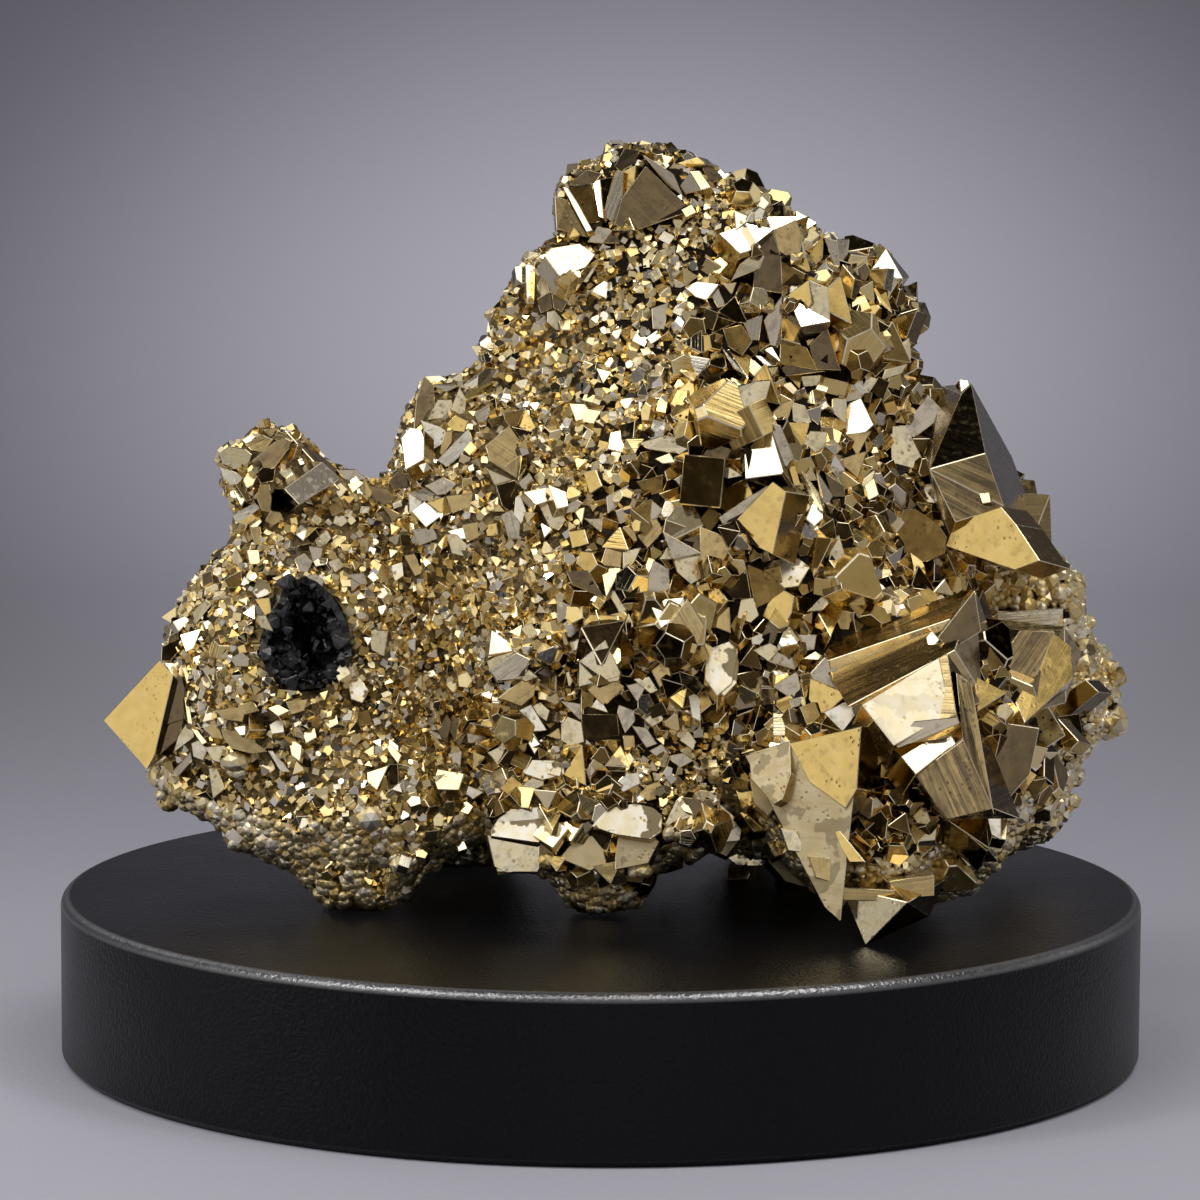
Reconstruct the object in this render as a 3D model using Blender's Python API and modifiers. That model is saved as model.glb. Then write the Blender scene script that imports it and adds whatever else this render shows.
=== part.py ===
"""Pyrite specimen on a round black stand.

The specimen is one natural piece: lumps of pyrite grown together, with
flat-faced crystals standing out of them and a hollow on the left. Dark
crystals line the hollow as a crust of their own. The piece rests on its
feet on a turned, powder-coated disc.

+X is the viewer's right, -Y faces the viewer, +Z is up, and the origin is
the middle of the stand's underside.
"""

import math
import random

import bmesh
import bpy
from mathutils import Euler, Vector, noise

MM = 0.001
SEED = 23

# Stand
STAND_RADIUS = 80 * MM
STAND_THICKNESS = 24 * MM
STAND_RIM_ROUND = 1.5 * MM
STAND_FOOT_CHAMFER = 1.1 * MM
STAND_STEPS = 84
STAND_RIM_STEPS = 4

# The gap that is left where one piece rests on another
CONTACT_GAP = 0.3 * MM
FOOT_LEVEL = STAND_THICKNESS + CONTACT_GAP

# Massive pyrite under the crystals: (middle), (half width, depth, height), in mm
LUMPS = {
    "core": ((12, 3, 66), (45, 31, 36)),
    "peak": ((13, 4, 98), (27, 19, 31)),
    "summit": ((6.5, 2, 117), (12.3, 10, 19)),
    "left_crest": ((-8.5, 0, 113), (5, 6, 6)),
    "crest_shoulder": ((-9, 1, 104), (8.2, 9, 11)),
    "right_crest": ((35.3, 4, 107.5), (10, 10, 10.5)),
    "right_shoulder": ((29.5, 4, 97), (15, 17, 23)),
    "left_flank": ((-14, 1, 78), (18, 21, 24)),
    "flank_knee": ((-23.5, -2, 88), (6.2, 11, 12.5)),
    "left_lobe": ((-43.4, -5, 56.5), (20.7, 21, 23.5)),
    "horn": ((-49, -5, 86.4), (8, 7, 6.6)),
    "horn_neck": ((-46.5, -5, 79), (7.4, 8, 8)),
    "horn_ridge": ((-39, -3, 78), (8.6, 9, 8.6)),
    "left_side": ((-56.5, -4, 49), (11, 15, 13.5)),
    "left_foot": ((-37, -12, 40), (21, 15, 12)),
    "left_toe": ((-35, -16, 31), (8, 8, 8.5)),
    "middle_foot": ((0, -13, 42), (18, 17, 14.5)),
    "middle_toe": ((0.5, -19, 31), (7.5, 7, 8.5)),
    "front_belly": ((15, -8, 80), (26, 16, 22)),
    "right_mass": ((42, -16, 48), (23, 20, 23)),
    "front_tip": ((38, -30, 38), (10, 11, 10)),
    "rear_lobe_upper": ((62, 14, 64), (10, 11, 11)),
    "rear_lobe_middle": ((67, 16, 51), (11, 11, 10.5)),
    "rear_lobe_top": ((57, 16, 78), (8, 9, 8)),
    "corner_seat": ((48, 4, 90), (6, 9, 9.5)),
    "rear_lobe_low": ((61, 15, 37), (9.5, 9, 9)),
    "rear_bridge": ((48, 17, 56), (19, 14, 22)),
    "back": ((8, 24, 62), (42, 25, 33)),
    "back_left": ((-27, 20, 50), (22, 19, 23)),
    "back_right": ((36, 24, 45), (23, 20, 20)),
    "left_heel": ((-22, 21, 32), (12, 12, 9)),
    "right_heel": ((28, 26, 32), (14, 12, 9)),
}
LUMP_VOXEL = 2.2 * MM
LUMP_SMOOTHING = 4
LUMP_WAVE = 1.6 * MM
LUMP_WAVELENGTH = 15 * MM
LUMP_FINE_SHARE = 0.5
LUMP_FINE_STEP = 2.3
BODY_KEPT_SHARE = 0.062

# Hollow on the left, and the small hole in the horn above it
HOLLOW_MIDDLE = Vector((-42.5, -24.0, 64.5)) * MM
HOLLOW_RADII = Vector((6.8, 12.0, 8.6)) * MM
HOLLOW_WAVE = 0.11
HORN_HOLE_MIDDLE = Vector((-46.5, -14.0, 82.8)) * MM
HORN_HOLE_RADII = Vector((2.3, 6.0, 2.2)) * MM

# Crust of dark crystals in the hollow
CRUST_CLEARANCE = 0.45 * MM
CRUST_THICKNESS = 1.0 * MM
CRUST_FRONT = -26.5 * MM
CRUST_CRYSTALS = 10
CRUST_CRYSTAL_RADII = (1.5 * MM, 2.4 * MM)
CRUST_CRYSTAL_LIFT = 0.15 * MM
CRUST_BARE_RIM = 3 * MM

# Large crystals, each the hull of its corners: (right, back, up) in mm
CRYSTALS = {
    "corner_block": (
        (53.9, -2, 99.6), (52.4, -4, 98.2), (55.1, -15.9, 90.7), (47.1, -17.8, 88.6),
        (57.6, -14.8, 85.3), (50.4, -16.4, 82.9), (57.7, -17.4, 83.3), (50.8, -18.6, 81.1),
        (63.9, -5, 74.1), (60.7, -4.9, 72.5), (50.2, -15, 77.5), (60.9, 10, 87.7),
        (65.8, 6.6, 74.5), (47, 1, 89.4), (50, 4, 98.7), (56.3, 13, 95),
        (65.2, 14, 73.5), (50.8, 14, 73), (47.8, 14, 89.1)),
    "roof_block": (
        (53.4, -24, 71.5), (31.2, -30, 62.5), (34.7, -40, 57.4), (49.8, -34.2, 64.5),
        (53.8, -32, 58.2), (38.2, -10, 62.5), (52.8, -8, 68.1), (52.5, -12, 53.9)),
    "bright_step": (
        (36.7, -40, 57.1), (48.5, -38, 64.5), (49.5, -43, 56.7), (40.7, -44, 52),
        (50.3, -42, 54.9), (42.2, -42.9, 50.6), (53.6, -34, 57.1), (38.9, -20, 55.1),
        (53.4, -20, 52.2)),
    "lower_step": (
        (44.3, -44, 48.3), (50.5, -43, 53.2), (54.6, -44.5, 43.7), (48.4, -44.9, 42.2),
        (53.5, -33, 54.7), (59.1, -36.2, 40.9), (48.3, -20, 46.4), (57.9, -18, 40.2)),
    "great_octahedron": (
        (20.5, -34, 49.2), (36.2, -42, 54.6), (33.5, -45.5, 27.8), (31.5, -44, 29.4),
        (38.5, -32, 48.2), (37.6, -34, 35.7), (28.9, -14, 44), (36.1, -18, 31.5)),
    "tip_octahedron": (
        (33.9, -42, 31.8), (42.8, -47, 30.6), (37.2, -45, 24.3), (48.6, -36, 31.8),
        (46.4, -38.5, 27.2), (39.3, -40, 33.3), (40.1, -24, 28.2)),
    "left_cube": (
        (-72.3, -15, 51.1), (-64, -18, 60.2), (-65.7, -20, 44.8), (-62, -19.5, 58.3),
        (-64.7, -20.2, 46.7), (-60.9, -12, 55.4), (-61.4, -6.7, 46.9), (-67.5, 0, 48.5),
        (-63.6, -2, 54)),
    "east_block": (
        (54.7, -18, 67), (67, -14, 65.3), (54.4, -26, 61.4), (65.4, -16.1, 64.4),
        (61.6, -26.6, 58.3), (69.7, -12, 61.3), (66.7, -21.3, 55.3), (62.7, -27.3, 55.3),
        (65.4, 2, 60.9), (57.8, 0, 59.6), (66.7, 0, 52.2)),
    "top_octahedron": (
        (5.9, -5, 131.9), (1.5, -10, 121.9), (12.6, -10, 125.2), (2.8, -1, 130.4),
        (-0.1, -4.8, 123.4), (13, 0, 126.7), (7.2, 8, 125.6)),
    "summit_cube": (
        (-6, -5, 129.1), (-0.7, -6, 131.2), (-0.2, -8, 121.8), (-6.7, -6.5, 120.7),
        (-2.6, 3, 131.8), (-7, 4, 126.5), (0.2, 4, 123.5)),
    "crest_plate": (
        (-8.6, -8, 118.3), (-3.3, -5, 120.2), (-1, -11, 118.2), (-6.1, -17.2, 115),
        (-4.9, 4, 115.3), (-8.6, 2, 116.2)),
    "crest_right": (
        (16.7, -11, 124), (22.7, -13, 124.9), (21.9, -15, 119.3), (16.9, -12.9, 119.7),
        (25.1, -5, 120.5), (23.7, -9, 114.2), (20.6, 4, 120.5)),
    "gold_pyramid": (
        (25.1, -24, 87.2), (26.2, -22, 86.1), (24.6, -31, 77.8), (17.1, -29, 80.3),
        (19.6, -21, 86.3), (27.1, -21, 80.2), (22.5, -5, 79.9)),
    "white_pyramid": (
        (23.1, -23, 95.7), (20, -26, 92.8), (20.8, -28, 88.7), (25.4, -28, 88.6),
        (27.3, -23, 90.8), (23.9, -7, 90.4)),
    "light_face": (
        (15.2, -21, 99.9), (24, -18, 101.6), (21.5, -26, 94.3), (15.9, -25, 95.9),
        (20.3, -5, 97.6), (24.5, -11, 96.7)),
    "olive_face": (
        (8.3, -32, 69.6), (14, -29, 70.1), (13.4, -36, 64.8), (9.3, -36, 63.6),
        (6.8, -26, 70.6), (11.7, -25, 70.8), (12, -16, 65)),
    "low_pyramid": (
        (-0.8, -31, 65.5), (-3.2, -35, 62.6), (-0.4, -36, 59.9), (2.5, -32, 62.5),
        (-0.4, -20, 61.9)),
    "dark_pair": (
        (8.7, -25, 81.5), (13.9, -25, 81.8), (12.5, -30, 77.5), (9.4, -30, 78.1),
        (11.3, -13, 77.9)),
    "dark_mate": (
        (14.4, -27, 80), (19.2, -25, 80.7), (18.6, -30, 74.7), (14.8, -31, 75.1),
        (16.8, -15, 75.9)),
    "grey_rhombus": (
        (59.1, -22, 52.3), (56.2, -27, 47.4), (60.1, -27, 42.4), (63.6, -20, 47.8),
        (61, -6, 44.2)),
    "amber_bar": (
        (62.7, -16, 51.6), (69.7, -10, 51.9), (70.3, -13, 47.9), (63.7, -19, 47.7),
        (67.8, 4, 46.4)),
    "pale_slab": (
        (42.4, -4, 91.9), (46.6, -2, 92.3), (47, -8, 87), (42.8, -10, 86.3),
        (45.7, 10, 88.5)),
    "band_face": (
        (26.8, -11, 115.2), (31.9, -9, 115.6), (32.6, -14, 110.4), (28.7, -16, 108.8),
        (26.3, -15, 111.4), (30.2, 4, 111.8)),
    "mid_gold": (
        (24.3, -9, 123.5), (28.7, -7, 122.8), (27.9, -12, 118.3), (23.9, -13, 119.3),
        (26.8, 4, 120.1)),
    "left_plate": (
        (-15.8, -30.5, 42), (-6.6, -31.5, 43.1), (-5.8, -33, 33.1), (-14.8, -32, 31.6),
        (-10.6, -18, 35.1)),
    "white_plate": (
        (-4.9, -31.5, 42.3), (7.5, -33, 42.2), (6.5, -34, 32.2), (-3.8, -33, 31.5),
        (1.1, -18, 34.4)),
    "right_plate": (
        (8.5, -33, 44), (16.7, -34, 44.4), (16, -35, 37.5), (9.4, -34.5, 37.8),
        (12.7, -20, 38.8)),
    "flank_cube": (
        (-28.2, -17, 93.4), (-25.8, -19, 94.2), (-25.5, -21, 88.9), (-28, -19, 88.1),
        (-27, -6, 90)),
    "behind_cube": (
        (62.3, 4, 82.8), (66.2, 5, 82.5), (66.6, 5, 74.4), (63.2, 3, 74.8),
        (64, 14, 79)),
    "hollow_side_face": (
        (-15.8, -31, 66.1), (-10.4, -33, 66.9), (-10.9, -36, 60.8), (-15.3, -34, 59.9),
        (-13.5, -18, 61.3)),
}
FLAT_ENOUGH = math.radians(5)

# Middle-sized crystals, scattered over the lumps
SCATTER_TRIES = 2600
SCATTER_COUNT = 175
FINE_RADII = (2.2 * MM, 3.2 * MM)
COARSE_RADII = (2.8 * MM, 5.2 * MM)
COARSE_MIDDLE = Vector((22, -14, 68)) * MM
COARSE_REACH = 42 * MM
COARSE_BEHIND = 22 * MM
SIDE_ON = 0.4
SCATTER_SPACING = 1.3
SCATTER_SINK = (-0.15, 0.25)
SCATTER_LOWEST = 30 * MM
CUBE_SHARE = 0.4
HOLLOW_KEEP_CLEAR = 1.35
LARGE_KEEP_CLEAR = 0.55


def new_material(name, colour, roughness, metallic):
    material = bpy.data.materials.new(name)
    material.use_nodes = True
    shader = material.node_tree.nodes["Principled BSDF"]
    shader.inputs["Base Color"].default_value = (*colour, 1.0)
    shader.inputs["Roughness"].default_value = roughness
    shader.inputs["Metallic"].default_value = metallic
    material.diffuse_color = (*colour, 1.0)
    return material


def add_object(name, mesh_data, collection):
    item = bpy.data.objects.new(name, mesh_data)
    collection.objects.link(item)
    return item


def add_shaping_form(name, mesh_data, collection):
    form = add_object(name, mesh_data, collection)
    form.display_type = "WIRE"
    form.hide_render = True
    return form


def to_mesh(bm, name):
    bmesh.ops.recalc_face_normals(bm, faces=bm.faces)
    mesh = bpy.data.meshes.new(name)
    bm.to_mesh(mesh)
    bm.free()
    return mesh


def evaluated_mesh(item):
    """A plain mesh of the object with its modifiers worked out."""
    depsgraph = bpy.context.evaluated_depsgraph_get()
    return bpy.data.meshes.new_from_object(item.evaluated_get(depsgraph))


def join_with(item, kind, name, collection=None, form=None):
    boolean = item.modifiers.new(name, "BOOLEAN")
    boolean.operation = kind
    boolean.solver = "EXACT"
    if collection is not None:
        boolean.operand_type = "COLLECTION"
        boolean.collection = collection
    else:
        boolean.object = form
    return boolean


def add_lumps(bm, lumps):
    for middle, radii in lumps:
        made = bmesh.ops.create_icosphere(bm, subdivisions=4, radius=1.0)
        for vert in made["verts"]:
            vert.co = Vector(co * size for co, size in zip(vert.co, radii)) + Vector(middle)
            vert.co *= MM


def massive_pyrite(collection):
    """The lumps melted into one uneven mass, still without crystals."""
    bm = bmesh.new()
    add_lumps(bm, LUMPS.values())
    mass = add_shaping_form("massive_pyrite", to_mesh(bm, "massive_pyrite"), collection)
    remesh = mass.modifiers.new("melt_lumps", "REMESH")
    remesh.mode = "VOXEL"
    remesh.voxel_size = LUMP_VOXEL
    smooth = mass.modifiers.new("soften_joins", "SMOOTH")
    smooth.iterations = LUMP_SMOOTHING
    mesh = evaluated_mesh(mass)
    for vert in mesh.vertices:
        spot = vert.co / LUMP_WAVELENGTH
        wave = noise.noise(spot) + LUMP_FINE_SHARE * noise.noise(spot * LUMP_FINE_STEP)
        vert.co += vert.normal * wave * LUMP_WAVE
    mass.modifiers.clear()
    mass.data = mesh
    decimate = mass.modifiers.new("fewer_faces", "DECIMATE")
    decimate.ratio = BODY_KEPT_SHARE
    mass.data = evaluated_mesh(mass)
    mass.modifiers.clear()
    return mass


def hull_crystal(corners):
    """A crystal with flat faces through the corners given for it."""
    bm = bmesh.new()
    for corner in corners:
        bm.verts.new(Vector(corner) * MM)
    hull = bmesh.ops.convex_hull(bm, input=bm.verts)
    loose = [item for item in hull["geom_interior"] if isinstance(item, bmesh.types.BMVert)]
    bmesh.ops.delete(bm, geom=loose, context="VERTS")
    bmesh.ops.dissolve_limit(bm, angle_limit=FLAT_ENOUGH, verts=bm.verts, edges=bm.edges)
    bmesh.ops.triangulate(bm, faces=bm.faces)
    return bm


def small_crystal(is_cube, radius, middle, turn):
    """A cube or an octahedron that reaches the radius at its corners."""
    bm = bmesh.new()
    if is_cube:
        bmesh.ops.create_cube(bm, size=2 * radius / math.sqrt(3))
    else:
        bmesh.ops.create_uvsphere(bm, u_segments=4, v_segments=2, radius=radius)
    bmesh.ops.rotate(bm, verts=bm.verts, matrix=turn.to_matrix())
    bmesh.ops.translate(bm, verts=bm.verts, vec=middle)
    return bm


def random_turn(rng):
    return Euler(tuple(rng.uniform(0, 2 * math.pi) for _ in range(3)))


def hollow_reach(direction):
    """How far the hollow's wall is from its middle, as a share of its radii."""
    return 1 + HOLLOW_WAVE * math.sin(3.1 * direction.x + 2.2 * direction.z + 4.0 * direction.y)


def hollow_form(inset):
    bm = bmesh.new()
    bmesh.ops.create_icosphere(bm, subdivisions=3, radius=1.0)
    for vert in bm.verts:
        reach = hollow_reach(vert.co)
        vert.co = Vector((co * reach * (size - inset) for co, size in zip(vert.co, HOLLOW_RADII)))
        vert.co += HOLLOW_MIDDLE
    return bm


def in_hollow(point, share):
    offset = point - HOLLOW_MIDDLE
    scaled = Vector((off / size for off, size in zip(offset, HOLLOW_RADII)))
    return scaled.length < share


def surface_points(mesh, rng, count):
    """Random places on a mesh, spread evenly by area, with the normal there."""
    mesh.calc_loop_triangles()
    triangles = list(mesh.loop_triangles)
    areas = [triangle.area for triangle in triangles]
    for triangle in rng.choices(triangles, weights=areas, k=count):
        a, b, c = (mesh.vertices[index].co for index in triangle.vertices)
        u, v = rng.random(), rng.random()
        if u + v > 1:
            u, v = 1 - u, 1 - v
        yield a + (b - a) * u + (c - a) * v, triangle.normal.copy()


def scatter_crystals(mass, large_middles, collection):
    rng = random.Random(SEED)
    placed = []
    for point, normal in surface_points(mass.data, rng, SCATTER_TRIES):
        is_coarse = (point - COARSE_MIDDLE).length < COARSE_REACH or point.y > COARSE_BEHIND
        radius = rng.uniform(*(COARSE_RADII if is_coarse else FINE_RADII))
        if abs(normal.y) < SIDE_ON:
            radius = FINE_RADII[0]
        turn = random_turn(rng)
        is_cube = rng.random() < CUBE_SHARE
        if len(placed) >= SCATTER_COUNT or point.z < SCATTER_LOWEST:
            continue
        if in_hollow(point, HOLLOW_KEEP_CLEAR):
            continue
        if any((point - middle).length < reach + radius for middle, reach in large_middles):
            continue
        if any((point - other).length < SCATTER_SPACING * (radius + size) / 2
               for other, size in placed):
            continue
        placed.append((point, radius))
        middle = point - normal * radius * rng.uniform(*SCATTER_SINK)
        bm = small_crystal(is_cube, radius, middle, turn)
        name = f"small_crystal_{len(placed):03d}"
        add_shaping_form(name, to_mesh(bm, name), collection)


def make_cluster(parts, forms, crystals, material):
    mass = massive_pyrite(forms)
    large_middles = []
    for name, corners in CRYSTALS.items():
        add_shaping_form(name, to_mesh(hull_crystal(corners), name), crystals)
        front = [Vector(corner) * MM for corner in corners[:-1]]
        middle = sum(front, Vector()) / len(front)
        reach = max((corner - middle).length for corner in front)
        large_middles.append((middle, LARGE_KEEP_CLEAR * reach))
    scatter_crystals(mass, large_middles, crystals)

    cluster = add_object("pyrite_cluster", mass.data.copy(), parts)
    cluster.data.materials.clear()
    cluster.data.materials.append(material)
    join_with(cluster, "UNION", "grown_crystals", collection=crystals)
    hollow = add_shaping_form("hollow", to_mesh(hollow_form(0.0), "hollow"), forms)
    join_with(cluster, "DIFFERENCE", "open_hollow", form=hollow)

    bm = bmesh.new()
    bmesh.ops.create_icosphere(bm, subdivisions=2, radius=1.0)
    for vert in bm.verts:
        vert.co = Vector((co * size for co, size in zip(vert.co, HORN_HOLE_RADII)))
        vert.co += HORN_HOLE_MIDDLE
    hole = add_shaping_form("horn_hole", to_mesh(bm, "horn_hole"), forms)
    join_with(cluster, "DIFFERENCE", "open_horn_hole", form=hole)

    bm = bmesh.new()
    bmesh.ops.create_cube(bm, size=1.0)
    bmesh.ops.scale(bm, verts=bm.verts, vec=(4 * STAND_RADIUS, 4 * STAND_RADIUS, FOOT_LEVEL * 2))
    below = add_shaping_form("below_feet", to_mesh(bm, "below_feet"), forms)
    join_with(cluster, "DIFFERENCE", "level_feet", form=below)
    return cluster


def make_crust(parts, forms, material):
    """A thin lining of the hollow, open at its mouth, with crystals on its inside."""
    bm = hollow_form(CRUST_CLEARANCE)
    front = [vert for vert in bm.verts if vert.co.y < CRUST_FRONT]
    bmesh.ops.delete(bm, geom=front, context="VERTS")
    crust = add_object("cavity_crust", to_mesh(bm, "cavity_crust"), parts)
    crust.data.materials.append(material)
    solid = crust.modifiers.new("lining", "SOLIDIFY")
    solid.thickness = CRUST_THICKNESS
    solid.offset = -1.0

    crystals = bpy.data.collections.new("crust_crystals")
    forms.children.link(crystals)
    rng = random.Random(SEED + 1)
    seats = [vert for vert in crust.data.vertices if vert.co.y > CRUST_FRONT + CRUST_BARE_RIM]
    for index, seat in enumerate(rng.sample(seats, CRUST_CRYSTALS)):
        inward = (HOLLOW_MIDDLE - seat.co).normalized()
        radius = rng.uniform(*CRUST_CRYSTAL_RADII)
        middle = seat.co + inward * (radius + CRUST_CRYSTAL_LIFT)
        bm = small_crystal(rng.random() < CUBE_SHARE, radius, middle, random_turn(rng))
        name = f"crust_crystal_{index:02d}"
        add_shaping_form(name, to_mesh(bm, name), crystals)
    join_with(crust, "UNION", "grown_lining", collection=crystals)
    return crust


def stand_profile():
    """Half outline of the disc from the middle of its top to that of its underside."""
    arc_middle = (STAND_RADIUS - STAND_RIM_ROUND, STAND_THICKNESS - STAND_RIM_ROUND)
    outline = [(0.0, STAND_THICKNESS)]
    for step in range(STAND_RIM_STEPS + 1):
        angle = math.pi / 2 * (1 - step / STAND_RIM_STEPS)
        outline.append((arc_middle[0] + STAND_RIM_ROUND * math.cos(angle),
                        arc_middle[1] + STAND_RIM_ROUND * math.sin(angle)))
    outline.append((STAND_RADIUS, STAND_FOOT_CHAMFER))
    outline.append((STAND_RADIUS - STAND_FOOT_CHAMFER, 0.0))
    outline.append((0.0, 0.0))
    return outline


def make_stand(parts, material):
    bm = bmesh.new()
    points = [bm.verts.new((across, 0.0, up)) for across, up in stand_profile()]
    for upper, lower in zip(points, points[1:]):
        bm.edges.new((upper, lower))
    mesh = bpy.data.meshes.new("stand")
    bm.to_mesh(mesh)
    bm.free()
    stand = add_object("stand", mesh, parts)
    stand.data.materials.append(material)
    turn = stand.modifiers.new("turned", "SCREW")
    turn.steps = STAND_STEPS
    turn.render_steps = STAND_STEPS
    turn.use_merge_vertices = True
    turn.merge_threshold = 0.01 * MM
    return stand


for old in list(bpy.data.objects):
    bpy.data.objects.remove(old)

specimen_parts = bpy.data.collections.new("pyrite_specimen")
shaping_forms = bpy.data.collections.new("shaping_forms")
grown_crystals = bpy.data.collections.new("grown_crystals")
bpy.context.scene.collection.children.link(specimen_parts)
bpy.context.scene.collection.children.link(shaping_forms)
shaping_forms.children.link(grown_crystals)

pyrite = new_material("pyrite", (0.60, 0.46, 0.24), 0.22, 1.0)
dark_quartz = new_material("dark_quartz", (0.09, 0.085, 0.09), 0.35, 0.0)
powder_coat = new_material("powder_coat", (0.022, 0.022, 0.026), 0.5, 0.0)

specimen_origin = bpy.data.objects.new("specimen_origin", None)
specimen_parts.objects.link(specimen_origin)
made_parts = (
    make_cluster(specimen_parts, shaping_forms, grown_crystals, pyrite),
    make_crust(specimen_parts, shaping_forms, dark_quartz),
    make_stand(specimen_parts, powder_coat),
)
for made_part in made_parts:
    made_part.parent = specimen_origin
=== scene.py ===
import math

import bmesh
import bpy
import numpy as np
from mathutils import Matrix, Vector
from mathutils.kdtree import KDTree


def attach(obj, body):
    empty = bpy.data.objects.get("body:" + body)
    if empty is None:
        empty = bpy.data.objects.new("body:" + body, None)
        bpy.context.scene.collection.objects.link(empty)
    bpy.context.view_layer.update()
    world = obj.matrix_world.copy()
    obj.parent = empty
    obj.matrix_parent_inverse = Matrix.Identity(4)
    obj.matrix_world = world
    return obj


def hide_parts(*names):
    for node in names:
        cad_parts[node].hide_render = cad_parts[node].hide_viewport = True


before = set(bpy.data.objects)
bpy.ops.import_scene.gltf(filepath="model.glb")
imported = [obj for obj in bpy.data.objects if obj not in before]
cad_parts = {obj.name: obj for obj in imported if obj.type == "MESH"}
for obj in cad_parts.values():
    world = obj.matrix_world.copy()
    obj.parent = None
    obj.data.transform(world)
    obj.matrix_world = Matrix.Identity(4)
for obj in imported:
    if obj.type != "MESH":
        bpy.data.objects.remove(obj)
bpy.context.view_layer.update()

# The studio: a sheet of pale paper that lies under the stand and sweeps up behind it, soft boxes above the
# viewer, cards on both sides and behind, and a dark room with paler walls. The paper's colour is painted
# light: a painted glow behind the piece that falls off to painted shade towards the edges, and an even
# painted tone near the front.
MM = 0.001
PAPER_HALF_WIDTH = 1.6
PAPER_FRONT = -3.0
SWEEP_START = 0.55
SWEEP_RADIUS = 0.32
SWEEP_TOP = 0.30
SWEEP_BENDS = range(3, 91, 3)
# The paper's colours are painted light: pale at the painted glow, painted shade away from it, and an even
# painted tone near the front.
PAPER_PALE = (0.80, 0.795, 0.905)
PAPER_SHADED = (0.20, 0.198, 0.24)
PAPER_NEAR_PAINTED_LIGHT = (0.60, 0.595, 0.685)
NEAR_PAINTED_LIGHT_RANGE = (0.50, -0.05)
GLOW_PLACE = Vector((0.018, 0.71, 0.045))
GLOW_STRETCH = (1.0, 0.35, 1.6)
GLOW_CORE = 0.015
GLOW_REACH = 0.275
TOOTH_SCALE = 700.0
TOOTH_RELIEF = 0.4 * MM
ROOM_SHADES = ((0.45, (0.005, 0.0045, 0.0045)), (0.60, (0.42, 0.41, 0.42)))
ROOM_CLOUDS = 1.7
scene = bpy.context.scene
scene.view_settings.view_transform = "Standard"


def noise_node(tree, where, scale, detail=2.0, stretch=None):
    """Cloudy noise at a place, stretched along one way if asked."""
    if stretch is not None:
        mapping = tree.nodes.new("ShaderNodeMapping")
        mapping.inputs["Scale"].default_value = stretch
        tree.links.new(where, mapping.inputs["Vector"])
        where = mapping.outputs["Vector"]
    node = tree.nodes.new("ShaderNodeTexNoise")
    node.inputs["Scale"].default_value = scale
    node.inputs["Detail"].default_value = detail
    tree.links.new(where, node.inputs["Vector"])
    return node.outputs["Fac"]


def band_node(tree, value, low, high):
    """0 at low and before it, 1 at high and past it, smooth between."""
    node = tree.nodes.new("ShaderNodeMapRange")
    node.interpolation_type = "SMOOTHSTEP"
    node.inputs["From Min"].default_value = low
    node.inputs["From Max"].default_value = high
    tree.links.new(value, node.inputs["Value"])
    return node.outputs["Result"]


def ramp_node(tree, value, stops):
    """A colour for a value, from stops of (value, colour)."""
    node = tree.nodes.new("ShaderNodeValToRGB")
    elements = node.color_ramp.elements
    while len(elements) < len(stops):
        elements.new(0.5)
    for element, (position, colour) in zip(elements, stops):
        element.position = position
        element.color = (*colour, 1)
    tree.links.new(value, node.inputs["Fac"])
    return node.outputs["Color"]


def mix_node(tree, share, first, second):
    """A mix of two colours, each a plain colour or a socket."""
    node = tree.nodes.new("ShaderNodeMix")
    node.data_type = "RGBA"
    for slot, colour in (("A", first), ("B", second)):
        if isinstance(colour, tuple):
            node.inputs[slot].default_value = (*colour, 1)
        else:
            tree.links.new(colour, node.inputs[slot])
    tree.links.new(share, node.inputs["Factor"])
    return node.outputs["Result"]


def bump_node(tree, height, distance, strength=1.0):
    """The lean that a fine relief gives the surface."""
    node = tree.nodes.new("ShaderNodeBump")
    node.inputs["Strength"].default_value = strength
    node.inputs["Distance"].default_value = distance
    tree.links.new(height, node.inputs["Height"])
    return node.outputs["Normal"]


def object_place(tree):
    return tree.nodes.new("ShaderNodeTexCoord").outputs["Object"]


def axes_of(tree, place):
    """The X, Y and Z outputs of a place."""
    node = tree.nodes.new("ShaderNodeSeparateXYZ")
    tree.links.new(place, node.inputs["Vector"])
    return node.outputs


studio_world = bpy.data.worlds.new("studio")
scene.world = studio_world
studio_world.use_nodes = True
tree = studio_world.node_tree
tree.nodes.clear()
world_out = tree.nodes.new("ShaderNodeOutputWorld")
around = tree.nodes.new("ShaderNodeBackground")
direction = tree.nodes.new("ShaderNodeTexCoord").outputs["Generated"]
room = ramp_node(tree, noise_node(tree, direction, ROOM_CLOUDS, 1.5), ROOM_SHADES)
tree.links.new(room, around.inputs["Color"])
tree.links.new(around.outputs["Background"], world_out.inputs["Surface"])


def soft_light(name, direction, distance, size, brightness, colour):
    """A soft light seen from the piece at a turn right of the viewer and a rise, in degrees."""
    turn, rise = (math.radians(angle) for angle in direction)
    away = Vector((math.sin(turn) * math.cos(rise), -math.cos(turn) * math.cos(rise), math.sin(rise)))
    lamp = bpy.data.lights.new(name, "AREA")
    lamp.shape = "RECTANGLE"
    lamp.size, lamp.size_y = size
    lamp.energy = brightness * math.pi * size[0] * size[1]
    lamp.color = colour
    holder = bpy.data.objects.new(name, lamp)
    scene.collection.objects.link(holder)
    holder.location = PIECE_MIDDLE + away * distance
    holder.rotation_euler = (-away).to_track_quat("-Z", "Y").to_euler()


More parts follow.
